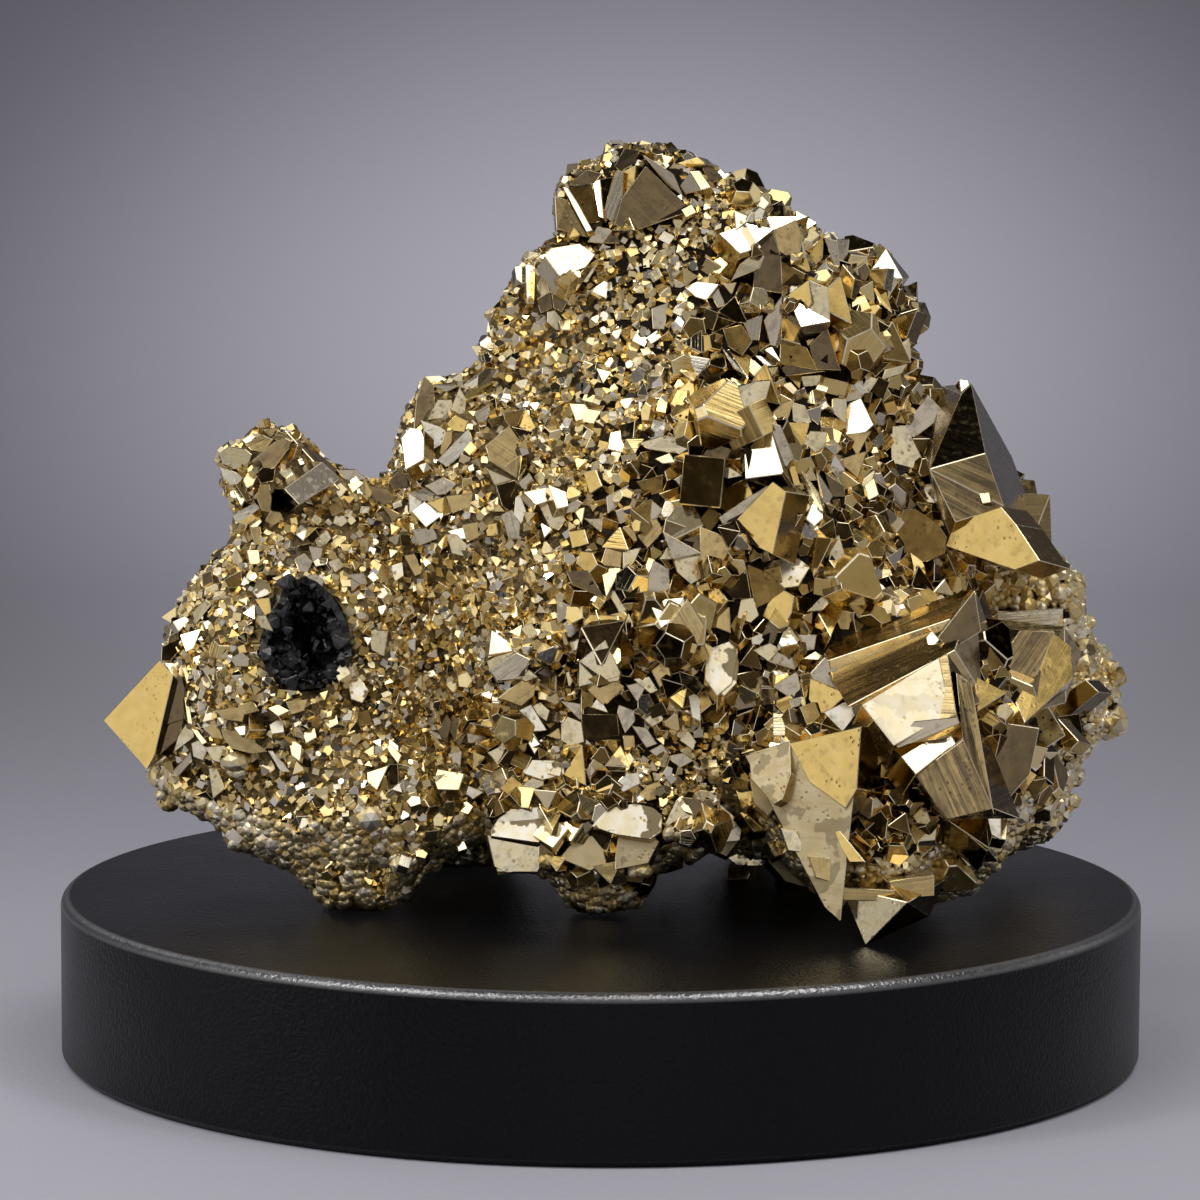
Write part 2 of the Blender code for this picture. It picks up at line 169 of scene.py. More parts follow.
PIECE_MIDDLE = Vector((0.0, 0.0, 0.07))
WARM, COOL = (1.0, 0.985, 0.95), (0.98, 0.98, 1.0)
soft_light("left_softbox", (-44, 45), 0.95, (0.75, 0.55), 1.9, WARM)
soft_light("right_softbox", (43, 57), 0.95, (0.70, 0.50), 1.7, WARM)
soft_light("middle_strip", (2, 55), 0.95, (0.16, 0.45), 1.2, WARM)
soft_light("left_card", (-72, 8), 1.1, (0.85, 0.55), 1.1, WARM)
soft_light("front_card", (3, 6.5), 1.3, (0.90, 0.42), 0.44, WARM)
soft_light("right_card", (119, 18), 1.1, (0.30, 0.50), 0.75, WARM)
soft_light("high_right_card", (92, 66), 1.0, (0.42, 0.40), 0.85, WARM)
soft_light("rear_left_card", (-138, 40), 1.2, (0.40, 0.70), 0.75, COOL)
soft_light("rear_hair_light", (-172, 43), 1.1, (0.40, 0.22), 1.4, COOL)
soft_light("left_lamp", (-60, 42), 1.0, (0.14, 0.14), 10.0, WARM)
soft_light("right_lamp", (55, 58), 1.0, (0.12, 0.12), 10.0, WARM)

paper_mesh = bpy.data.meshes.new("paper_sweep")
bm = bmesh.new()
paper_line = [(PAPER_FRONT, 0.0), (SWEEP_START, 0.0)]
paper_line += [(SWEEP_START + SWEEP_RADIUS * math.sin(math.radians(bend)),
                SWEEP_RADIUS * (1 - math.cos(math.radians(bend)))) for bend in SWEEP_BENDS]
paper_line.append((SWEEP_START + SWEEP_RADIUS, SWEEP_RADIUS + SWEEP_TOP))
left_edge, right_edge = ([bm.verts.new((side * PAPER_HALF_WIDTH, back, up)) for back, up in paper_line]
                         for side in (-1, 1))
for row in range(len(paper_line) - 1):
    bm.faces.new((left_edge[row], right_edge[row], right_edge[row + 1], left_edge[row + 1]))
bm.to_mesh(paper_mesh)
bm.free()
paper_mesh.shade_smooth()
paper = bpy.data.objects.new("paper_sweep", paper_mesh)
scene.collection.objects.link(paper)

painted_light_paper = bpy.data.materials.new("paper_painted_glow_and_shade")
painted_light_paper.use_nodes = True
tree = painted_light_paper.node_tree
shader = tree.nodes["Principled BSDF"]
shader.inputs["Roughness"].default_value = 0.75
shader.inputs["Specular IOR Level"].default_value = 0.3
place = object_place(tree)
from_glow = place
for operation, operand in (("SUBTRACT", GLOW_PLACE), ("MULTIPLY", GLOW_STRETCH), ("LENGTH", None)):
    step = tree.nodes.new("ShaderNodeVectorMath")
    step.operation = operation
    if operand is not None:
        step.inputs[1].default_value = operand
    tree.links.new(from_glow, step.inputs[0])
    from_glow = step.outputs["Value" if operand is None else "Vector"]
# Painted light on the paper: pale at the glow, painted shade away from it, and an even painted tone near the
# front.
glow_shade = band_node(tree, from_glow, GLOW_CORE, GLOW_REACH)
far_painted_glow = mix_node(tree, glow_shade, PAPER_PALE, PAPER_SHADED)
paper_painted_light_colour = mix_node(tree, band_node(tree, axes_of(tree, place)["Y"], *NEAR_PAINTED_LIGHT_RANGE), far_painted_glow, PAPER_NEAR_PAINTED_LIGHT)
tree.links.new(paper_painted_light_colour, shader.inputs["Base Color"])
tooth = noise_node(tree, place, TOOTH_SCALE, 3.0)
tree.links.new(bump_node(tree, tooth, TOOTH_RELIEF, 0.25), shader.inputs["Normal"])
# The sheet shows from its front alone, so that the piece can be looked at from behind it too.
seen_side = tree.nodes.new("ShaderNodeNewGeometry")
clear = tree.nodes.new("ShaderNodeBsdfTransparent")
one_way = tree.nodes.new("ShaderNodeMixShader")
tree.links.new(seen_side.outputs["Backfacing"], one_way.inputs["Fac"])
tree.links.new(shader.outputs["BSDF"], one_way.inputs[1])
tree.links.new(clear.outputs["BSDF"], one_way.inputs[2])
tree.links.new(one_way.outputs["Shader"], tree.nodes["Material Output"].inputs["Surface"])
paper_mesh.materials.append(painted_light_paper)

# The photograph's camera, found from the stand's two ellipses: a long lens, close to level,
# a hair out of true.
CAMERA_PLACE = Vector((-0.35, -777.8, 163.9)) * MM
CAMERA_TILT = math.radians(90 - 7.088)
CAMERA_ROLL = math.radians(0.27)
LENS_LENGTH = 159.1
SENSOR_WIDTH = 36.0
camera_data = bpy.data.cameras.new("photograph")
camera_data.lens = LENS_LENGTH
camera_data.sensor_width = SENSOR_WIDTH
camera_data.clip_end = 100.0
camera = bpy.data.objects.new("photograph", camera_data)
scene.collection.objects.link(camera)
camera.matrix_world = (Matrix.Translation(CAMERA_PLACE) @ Matrix.Rotation(CAMERA_TILT, 4, "X")
                       @ Matrix.Rotation(CAMERA_ROLL, 4, "Z"))
scene.camera = camera

# The disc: turned from steel bar, its top edge rounded over and its foot chamfered, then powder coated in
# black with a fine pebble. Along the rim a band of bare steel is a painted highlight, which the lamps then
# brighten into a line.
STAND_RADIUS = 80 * MM
STAND_THICKNESS = 24 * MM
RIM_ROUND = 1.5 * MM
FOOT_CHAMFER = 1.1 * MM
STAND_TURN_STEPS = 256
RIM_STEPS = 8
CREASE_FROM = math.radians(35)
COAT_BLACK = (0.0015, 0.0015, 0.002)
COAT_RAISED = (0.006, 0.006, 0.008)
COAT_SHINE = 0.16
COAT_GLOSS = (0.26, 0.36)
COAT_GRAIN = 1900.0
COAT_RELIEF = 0.25 * MM
# A band of bare steel along the rim, a painted highlight.
RIM_PAINTED_HIGHLIGHT_STEEL = (0.30, 0.30, 0.31)
RIM_HIGHLIGHT_FROM, RIM_HIGHLIGHT_FULLY = 0.95 * RIM_ROUND, 0.40 * RIM_ROUND


def disc_outline():
    """Half outline of the disc, from the middle of its top to that of its underside."""
    outline = [(0.0, STAND_THICKNESS)]
    for step in range(RIM_STEPS + 1):
        angle = math.pi / 2 * (1 - step / RIM_STEPS)
        outline.append((STAND_RADIUS - RIM_ROUND * (1 - math.cos(angle)),
                        STAND_THICKNESS - RIM_ROUND * (1 - math.sin(angle))))
    outline.append((STAND_RADIUS, FOOT_CHAMFER))
    outline.append((STAND_RADIUS - FOOT_CHAMFER, 0.0))
    outline.append((0.0, 0.0))
    return outline


def sum_node(tree, operation, first, second=None, clamp=False):
    """A sum in the tree; each term is a socket or a number."""
    node = tree.nodes.new("ShaderNodeMath")
    node.operation = operation
    node.use_clamp = clamp
    for slot, term in zip(node.inputs, (first, second)):
        if isinstance(term, (int, float)):
            slot.default_value = term
        elif term is not None:
            tree.links.new(term, slot)
    return node.outputs["Value"]


def line_node(tree, value, low, high, low_result=0.0, high_result=1.0):
    """A straight run from one result to another, level past its ends."""
    node = tree.nodes.new("ShaderNodeMapRange")
    for title, number in (("From Min", low), ("From Max", high),
                          ("To Min", low_result), ("To Max", high_result)):
        node.inputs[title].default_value = number
    tree.links.new(value, node.inputs["Value"])
    return node.outputs["Result"]


disc_mesh = bpy.data.meshes.new("disc")
bm = bmesh.new()
turns = [2 * math.pi * step / STAND_TURN_STEPS for step in range(STAND_TURN_STEPS)]
rings = [[bm.verts.new((across * math.cos(turn), across * math.sin(turn), up))
          for turn in (turns if across else turns[:1])] for across, up in disc_outline()]
for upper, lower in zip(rings, rings[1:]):
    for step in range(STAND_TURN_STEPS):
        corners = [ring[turn % len(ring)] for ring, turn in
                   ((upper, step), (lower, step), (lower, step + 1), (upper, step + 1))]
        bm.faces.new(list(dict.fromkeys(corners)))
bmesh.ops.recalc_face_normals(bm, faces=bm.faces)
bm.to_mesh(disc_mesh)
bm.free()
disc = bpy.data.objects.new("powder_coated_disc", disc_mesh)
scene.collection.objects.link(disc)
disc_mesh.shade_smooth()
disc_mesh.set_sharp_from_angle(angle=CREASE_FROM)

powder_coat = bpy.data.materials.new("black_powder_coat")
powder_coat.use_nodes = True
tree = powder_coat.node_tree
shader = tree.nodes["Principled BSDF"]
shader.inputs["Specular IOR Level"].default_value = COAT_SHINE
place = object_place(tree)
pebble = noise_node(tree, place, COAT_GRAIN)
pebble.node.inputs["Roughness"].default_value = 0.4
tree.links.new(bump_node(tree, pebble, COAT_RELIEF, 0.6), shader.inputs["Normal"])
gloss = line_node(tree, noise_node(tree, place, 60.0), 0.0, 1.0, *COAT_GLOSS)
tree.links.new(gloss, shader.inputs["Roughness"])
disc_axes = axes_of(tree, place)
flat_place = tree.nodes.new("ShaderNodeCombineXYZ")
for axis in ("X", "Y"):
    tree.links.new(disc_axes[axis], flat_place.inputs[axis])
across = tree.nodes.new("ShaderNodeVectorMath")
across.operation = "LENGTH"
tree.links.new(flat_place.outputs["Vector"], across.inputs[0])
# Where bare steel is mixed in along the rim: a painted highlight that the lamps brighten.
rim_painted_highlight = sum_node(tree, "MULTIPLY", *(
    line_node(tree, value, limit - RIM_HIGHLIGHT_FROM, limit - RIM_HIGHLIGHT_FULLY)
    for value, limit in ((across.outputs["Value"], STAND_RADIUS), (disc_axes["Z"], STAND_THICKNESS))))
coat_tone = mix_node(tree, pebble, COAT_BLACK, COAT_RAISED)
tree.links.new(mix_node(tree, rim_painted_highlight, coat_tone, RIM_PAINTED_HIGHLIGHT_STEEL), shader.inputs["Base Color"])
tree.links.new(rim_painted_highlight, shader.inputs["Metallic"])
disc_mesh.materials.append(powder_coat)
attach(disc, "root")
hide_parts("stand")

# Pyrite's finish, shared by every crystal: bare metal whose colour runs from dark tarnish
# through amber and brass to near silver, with fine growth lines, pits and dull spots.
TARNISH = ((0.00, (0.020, 0.013, 0.006)), (0.22, (0.20, 0.125, 0.038)), (0.42, (0.58, 0.41, 0.14)),
           (0.62, (0.76, 0.57, 0.235)), (0.82, (0.88, 0.74, 0.43)), (1.00, (0.97, 0.91, 0.77)))
STEEL = (0.56, 0.52, 0.46)
PATCH = (0.24, 0.19, 0.11)
GROWTH_LINES = (0.12, 3.4, 1.0)
BROAD_GROWTH_LINES = (0.05, 0.9, 1.0)
PIT_SCALE = 1100.0
FINISH_RELIEF = 0.05 * MM

finish_group = bpy.data.node_groups.new("pyrite_finish", "ShaderNodeTree")
for socket_name, kind, value in (
        ("Tone", "NodeSocketFloat", 0.6), ("Steel", "NodeSocketFloat", 0.0),
        ("Dull", "NodeSocketFloat", 0.15), ("Lines", "NodeSocketFloat", 0.0),
        ("Pits", "NodeSocketFloat", 0.0), ("Face Place", "NodeSocketVector", None)):
    socket = finish_group.interface.new_socket(socket_name, in_out="INPUT", socket_type=kind)
    if value is not None:
        socket.default_value = value
for socket_name, kind in (("Colour", "NodeSocketColor"), ("Roughness", "NodeSocketFloat"),
                          ("Height", "NodeSocketFloat")):
    finish_group.interface.new_socket(socket_name, in_out="OUTPUT", socket_type=kind)
tree = finish_group
given = tree.nodes.new("NodeGroupInput").outputs
made = tree.nodes.new("NodeGroupOutput").inputs
place = object_place(tree)

lines_given, pits_given = given["Lines"], given["Pits"]


def product(first, second):
    return sum_node(finish_group, "MULTIPLY", first, second)


def total(first, second):
    return sum_node(finish_group, "ADD", first, second)


def less(first, second, clamp=False):
    return sum_node(finish_group, "SUBTRACT", first, second, clamp)


growth = noise_node(tree, given["Face Place"], 1.0, 3.0, GROWTH_LINES)
broad_growth = noise_node(tree, given["Face Place"], 1.0, 1.0, BROAD_GROWTH_LINES)
line_relief = less(total(growth, product(broad_growth, 1.2)), 1.1)
lines_part = product(line_relief, lines_given)

pit_cells = tree.nodes.new("ShaderNodeTexVoronoi")
pit_cells.inputs["Scale"].default_value = PIT_SCALE
tree.links.new(place, pit_cells.inputs["Vector"])
pit_patch = band_node(tree, noise_node(tree, place, 210.0), 0.46, 0.62)
pit_depth = less(1.0, band_node(tree, pit_cells.outputs["Distance"], 0.12, 0.34))
pit_mask = product(product(pit_depth, pit_patch), pits_given)

# A face's tone is clouded, more so where it is pitted, lined along its growth and dark in pits.
pitted_twice = product(pits_given, pits_given)
mottle = total(0.2, product(pitted_twice, 0.5))
cloud = less(noise_node(tree, place, 420.0, 4.0), 0.5)
tone = total(given["Tone"], product(cloud, mottle))
tone = total(tone, product(lines_part, 0.45))
tone = less(tone, product(pit_mask, 0.5), clamp=True)
patch = product(band_node(tree, noise_node(tree, place, 230.0, 3.0), 0.53, 0.56), pitted_twice)
colour = mix_node(tree, given["Steel"], ramp_node(tree, tone, TARNISH), STEEL)
tree.links.new(mix_node(tree, patch, colour, PATCH), made["Colour"])

dull_spots = band_node(tree, noise_node(tree, place, 800.0, 3.0), 0.5, 0.7)
roughness = total(total(given["Dull"], product(dull_spots, 0.14)), product(pit_mask, 0.3))
tree.links.new(roughness, made["Roughness"])
skin = product(noise_node(tree, place, 1500.0, 3.0), 0.10)
tree.links.new(less(total(skin, product(lines_part, 0.9)), pit_mask), made["Height"])


def pyrite_material(name, relief):
    """Bare pyrite; each face's own tone, dullness, lines and pits come with its mesh."""
    material = bpy.data.materials.new(name)
    material.use_nodes = True
    tree = material.node_tree
    metal = tree.nodes["Principled BSDF"]
    metal.inputs["Metallic"].default_value = 1.0
    finish = tree.nodes.new("ShaderNodeGroup")
    finish.node_tree = finish_group
    for title in ("Tone", "Steel", "Dull", "Lines", "Pits"):
        value = tree.nodes.new("ShaderNodeAttribute")
        value.attribute_name = title.lower()
        tree.links.new(value.outputs["Fac"], finish.inputs[title])
    across = tree.nodes.new("ShaderNodeUVMap")
    across.uv_map = "face_mm"
    tree.links.new(across.outputs["UV"], finish.inputs["Face Place"])
    tree.links.new(bump_node(tree, finish.outputs["Height"], relief), metal.inputs["Normal"])
    tree.links.new(finish.outputs["Colour"], metal.inputs["Base Color"])
    tree.links.new(finish.outputs["Roughness"], metal.inputs["Roughness"])
    return material


pyrite = pyrite_material("pyrite", FINISH_RELIEF)
FACE_VALUES = ("tone", "steel", "dull", "lines", "pits")


def shown_mesh(name, corners, loops, sizes, face_values, face_uv, material):
    """A mesh object from arrays: corner places, each face's corners and their number, and what it carries."""
    mesh = bpy.data.meshes.new(name)
    mesh.vertices.add(len(corners))
    mesh.vertices.foreach_set("co", np.asarray(corners, np.float32).ravel())
    mesh.loops.add(len(loops))
    mesh.loops.foreach_set("vertex_index", np.asarray(loops, np.int32))
    mesh.polygons.add(len(sizes))
    starts = np.concatenate([[0], np.cumsum(sizes)[:-1]])
    mesh.polygons.foreach_set("loop_start", starts.astype(np.int32))
    mesh.update(calc_edges=True)
    mesh.validate()
    for title, values in zip(FACE_VALUES, face_values):
        layer = mesh.attributes.new(title, "FLOAT", "FACE")
        layer.data.foreach_set("value", np.asarray(values, np.float32))
    uv = mesh.uv_layers.new(name="face_mm")
    uv.data.foreach_set("uv", np.asarray(face_uv, np.float32).ravel())
    mesh.shade_flat()
    mesh.materials.append(material)
    piece = bpy.data.objects.new(name, mesh)
    scene.collection.objects.link(piece)
    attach(piece, "root")


# The mass the crystals grow from: the solid itself, kept as it is. It shows only in the gaps between the
# crystals, and its dark, dull colour is painted shade there, darkest on its coarse side.
GAP_PAINTED_SHADES = ((0.35, (0.04, 0.028, 0.014)), (0.75, (0.40, 0.29, 0.13)))
GAP_PAINTED_SHADE_DARK = (0.018, 0.012, 0.007)
COARSE_SIDE_PAINTED_SHADE = (-14 * MM, 4 * MM)
GAP_RELIEF = 0.6 * MM
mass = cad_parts["pyrite_cluster"]
mass_painted_shade = bpy.data.materials.new("pyrite_painted_gap_shade")
mass_painted_shade.use_nodes = True
tree = mass_painted_shade.node_tree
shader = tree.nodes["Principled BSDF"]
shader.inputs["Metallic"].default_value = 0.85
shader.inputs["Roughness"].default_value = 0.5
place = object_place(tree)
# Painted shade for the gaps between crystals, darker still on the coarse side.
patches = ramp_node(tree, noise_node(tree, place, 350.0, 4.0), GAP_PAINTED_SHADES)
coarse_side_painted_shade = band_node(tree, axes_of(tree, place)["X"], *COARSE_SIDE_PAINTED_SHADE)
tree.links.new(mix_node(tree, coarse_side_painted_shade, patches, GAP_PAINTED_SHADE_DARK), shader.inputs["Base Color"])
rough_skin = bump_node(tree, noise_node(tree, place, 1300.0, 4.0), GAP_RELIEF)
tree.links.new(rough_skin, shader.inputs["Normal"])
mass.data.materials.clear()
mass.data.materials.append(mass_painted_shade)

# Large crystals: blocks, plates and octahedra with flat faces, each the hull of its corners (right, back, up,
# in mm), standing a hair proud of the solid. Their edges are bevelled and given a pale tone, a painted
# highlight, and their faces carry growth lines, pits and tarnish of their own.
LARGE_CRYSTALS = {
    "corner_block": (
        (53.9, -2, 99.6), (52.4, -4, 98.2), (55.1, -15.9, 90.7), (47.1, -17.8, 88.6),
        (57.6, -14.8, 85.3), (50.4, -16.4, 82.9), (57.7, -17.4, 83.3), (50.8, -18.6, 81.1),
        (63.9, -5, 74.1), (60.7, -4.9, 72.5), (50.2, -15, 77.5), (60.9, 10, 87.7),
        (65.8, 6.6, 74.5), (47, 1, 89.4), (50, 4, 98.7), (56.3, 13, 95),
        (65.2, 14, 73.5), (50.8, 14, 73), (47.8, 14, 89.1)),
    "roof_block": (
        (53.4, -24, 71.5), (31.2, -30, 62.5), (34.7, -40, 57.4), (49.8, -34.2, 64.5),
        (53.8, -32, 58.2), (38.2, -10, 62.5), (52.8, -8, 68.1), (52.5, -12, 53.9)),
    "bright_step": (
        (36.7, -40, 57.1), (48.5, -38, 64.5), (49.5, -43, 56.7), (40.7, -44, 52),
        (50.3, -42, 54.9), (42.2, -42.9, 50.6), (53.6, -34, 57.1), (38.9, -20, 55.1),
        (53.4, -20, 52.2)),
    "lower_step": (
        (44.3, -44, 48.3), (50.5, -43, 53.2), (54.6, -44.5, 43.7), (48.4, -44.9, 42.2),
        (53.5, -33, 54.7), (59.1, -36.2, 40.9), (48.3, -20, 46.4), (57.9, -18, 40.2)),
    "great_octahedron": (
        (20.5, -34, 49.2), (36.2, -42, 54.6), (33.5, -45.5, 27.8), (31.5, -44, 29.4),
        (38.5, -32, 48.2), (37.6, -34, 35.7), (28.9, -14, 44), (36.1, -18, 31.5)),
    "tip_octahedron": (
        (33.9, -42, 31.8), (42.8, -47, 30.6), (37.2, -45, 24.3), (48.6, -36, 31.8),
        (46.4, -38.5, 27.2), (39.3, -40, 33.3), (40.1, -24, 28.2)),
    "left_cube": (
        (-72.3, -15, 51.1), (-64, -18, 60.2), (-65.7, -20, 44.8), (-62, -19.5, 58.3),
        (-64.7, -20.2, 46.7), (-60.9, -12, 55.4), (-61.4, -6.7, 46.9), (-67.5, 0, 48.5),
        (-63.6, -2, 54)),
    "east_block": (
        (54.7, -18, 67), (67, -14, 65.3), (54.4, -26, 61.4), (65.4, -16.1, 64.4),
        (61.6, -26.6, 58.3), (69.7, -12, 61.3), (66.7, -21.3, 55.3), (62.7, -27.3, 55.3),
        (65.4, 2, 60.9), (57.8, 0, 59.6), (66.7, 0, 52.2)),
    "grey_rhombus": (
        (59.1, -22, 52.3), (56.2, -27, 47.4), (60.1, -27, 42.4), (63.6, -20, 47.8),
        (61, -6, 44.2)),
    "amber_bar": (
        (62.7, -16, 51.6), (69.7, -10, 51.9), (70.3, -13, 47.9), (63.7, -19, 47.7),
        (67.8, 4, 46.4)),
    "behind_cube": (
        (62.3, 4, 82.8), (66.2, 5, 82.5), (66.6, 5, 74.4), (63.2, 3, 74.8), (64, 14, 79)),
}
# A finish is tone, steel, dull, lines, pits. Each crystal has one for most of its faces, and may have others
# for the face that looks nearest to a direction (right, up, in degrees). Tones follow how bright each face
# looks: the white, bright and pale finishes carry painted highlight and the dark and black ones painted
# shade, besides the metal's own tarnish; the bevelled edges' finish is a painted highlight.
FINISHES = {
    "white": (0.93, 0.0, 0.10, 0.0, 0.3),
    "bright": (0.80, 0.0, 0.12, 0.1, 0.4),
    "pale": (0.97, 0.1, 0.16, 0.1, 0.3),
    "beige": (0.84, 0.2, 0.20, 0.15, 0.4),
    "gold": (0.46, 0.0, 0.12, 0.0, 0.25),
    "amber": (0.36, 0.0, 0.14, 0.1, 0.2),
    "brown": (0.22, 0.0, 0.14, 0.1, 0.2),
    "olive": (0.39, 0.15, 0.14, 0.3, 0.1),
    "olive_lined": (0.44, 0.2, 0.16, 1.0, 0.1),
    "olive_dark": (0.25, 0.15, 0.14, 0.2, 0.1),
    "greyish": (0.50, 0.75, 0.20, 0.2, 0.2),
    "grey_lined": (0.72, 0.7, 0.20, 1.0, 0.1),
    "dark": (0.12, 0.1, 0.14, 0.1, 0.1),
    "dark_lined": (0.27, 0.15, 0.16, 1.2, 0.3),
    "black": (0.0, 0.0, 0.12, 0.0, 0.0),
    "speckled": (0.95, 0.05, 0.38, 0.0, 1.0),
    "frosted": (0.95, 0.0, 0.45, 0.2, 1.0),
    "rough": (0.66, 0.35, 0.42, 0.4, 0.75),
    "cream": (0.90, 0.0, 0.36, 0.0, 0.45),
    "roof_strip": (0.42, 0.15, 0.18, 1.2, 0.2),
    "flank": (0.36, 0.2, 0.16, 1.2, 0.3),
    "edge_painted_highlight": (0.88, 0.0, 0.26, 0.0, 0.0),
}
# A crystal's main finish, then others for the face that looks nearest to a direction, with the
# two corners of the crystal that its growth lines run between.
# A dark finish on a face turned right, away from the lamps, is painted shade.
CRYSTAL_LOOKS = {
    "corner_block": ("greyish", (((15, -5), "dark_lined", (9, 7)), ((-9, 56), "dark_lined", (3, 5)),
                                 ((-20, 10), "grey_lined", (3, 2)), ((26, -42), "amber", None))),
    "roof_block": ("olive_lined", (((80, 0), "dark", None), ((-20, 50), "olive_lined", (1, 0)))),
    "bright_step": ("olive_lined", (((50, -30), "gold", None), ((80, 10), "dark", None))),
    "lower_step": ("olive_lined", (((10, 0), "dark_lined", (1, 2)), ((60, 0), "dark_lined", None))),
    "great_octahedron": ("rough", (((80, 0), "dark", None),)),
    "tip_octahedron": ("beige", (((50, -20), "dark", None), ((0, 60), "olive", None))),
    "left_cube": ("gold", (((80, 0), "dark", None),)),
    "east_block": ("olive", (((-25, 0), "dark_lined", None), ((45, 0), "dark", None))),
    "grey_rhombus": ("greyish", ()),
    "amber_bar": ("gold", ()),
    "behind_cube": ("olive", ()),
}
PROUD = 0.12 * MM
# Width of the bevelled edges that carry a painted highlight.
EDGE_HIGHLIGHT_WIDTH = 0.10 * MM
FLAT_ENOUGH = math.radians(5)
LOOKS_THAT_WAY = 0.86
FRONT_FACE = 0.99


def facing(azimuth, elevation):
    """A direction from its turn to the right of the viewer's and its rise, in degrees."""
    turn, rise = math.radians(azimuth), math.radians(elevation)
    return Vector((math.sin(turn) * math.cos(rise), -math.cos(turn) * math.cos(rise), math.sin(rise)))


def hull_of(corners):
    """The flat-faced solid that just holds the corners, given in mm."""
    bm = bmesh.new()
    for corner in corners:
        bm.verts.new(Vector(corner) * MM)
    hull = bmesh.ops.convex_hull(bm, input=bm.verts)
    loose = [item for item in hull["geom_interior"] if isinstance(item, bmesh.types.BMVert)]
    bmesh.ops.delete(bm, geom=loose, context="VERTS")
    bmesh.ops.dissolve_limit(bm, angle_limit=FLAT_ENOUGH, verts=bm.verts, edges=bm.edges)
    bmesh.ops.recalc_face_normals(bm, faces=bm.faces)
    bm.normal_update()
    return bm


def face_frame(normal, along=None):
    """Two directions in a face; the first runs along its growth lines, level unless given."""
    if along is None:
        along = Vector((0, 0, 1)).cross(normal)
    along = along - normal * along.dot(normal)
    if along.length < 1e-6:
        along = Vector((1, 0, 0))
    along.normalize()
    return along, normal.cross(along)


def faceted(bm, edge_width, look_of):
    """A hull's mesh arrays, its edges bevelled to facets that carry a painted highlight; look_of gives a
    face's finish and line way.
    """
    for vert in bm.verts:
        vert.co += vert.normal * vert.calc_shell_factor() * PROUD
    bevelled = bmesh.ops.bevel(bm, geom=bm.edges[:], offset=edge_width, segments=1, profile=0.5,
                               affect="EDGES", clamp_overlap=True)
    edge_faces = set(bevelled["faces"])
    bm.normal_update()
    bm.verts.index_update()
    places, loops, sizes, carried, uv = [vert.co[:] for vert in bm.verts], [], [], [], []
    for face in bm.faces:
        finish, line_way = ("edge_painted_highlight", None) if face in edge_faces else look_of(face.normal)
        along, up = face_frame(face.normal, line_way)
        sizes.append(len(face.verts))
        carried.append(FINISHES[finish])
        for vert in face.verts:
            loops.append(vert.index)
            uv.append((vert.co.dot(along) / MM, vert.co.dot(up) / MM))
    bm.free()
    return places, loops, sizes, carried, uv


def joined(name, parts):
    """One mesh from several crystals' arrays."""
    places, loops, sizes, carried, uv = [], [], [], [], []
    for part_places, part_loops, part_sizes, part_carried, part_uv in parts:
        loops += [index + len(places) for index in part_loops]
        places += part_places
        sizes += part_sizes
        carried += part_carried
        uv += part_uv
    shown_mesh(name, places, loops, sizes, np.array(carried).T, uv, pyrite)


def solid_of(bm):
    """A hull's face planes and the two corners of its box, for telling what lies inside it."""
    corners = np.array([vert.co[:] for vert in bm.verts])
    planes = np.array([(*face.normal, face.normal.dot(face.calc_center_median())) for face in bm.faces])
    return planes, corners.min(axis=0) - MM, corners.max(axis=0) + MM


large_solids = []
for name, corners in LARGE_CRYSTALS.items():
    bm = hull_of(corners)
    large_solids.append(solid_of(bm))
    main_finish, special = CRYSTAL_LOOKS[name]

    def large_look(normal):
        for (azimuth, elevation), finish, line_ends in special:
            if normal.dot(facing(azimuth, elevation)) > LOOKS_THAT_WAY:
                start, end = (Vector(corners[index]) for index in line_ends or (0, 0))
                return finish, (end - start) if line_ends else None
        return main_finish, None

    joined(name, [faceted(bm, EDGE_HIGHLIGHT_WIDTH, large_look)])
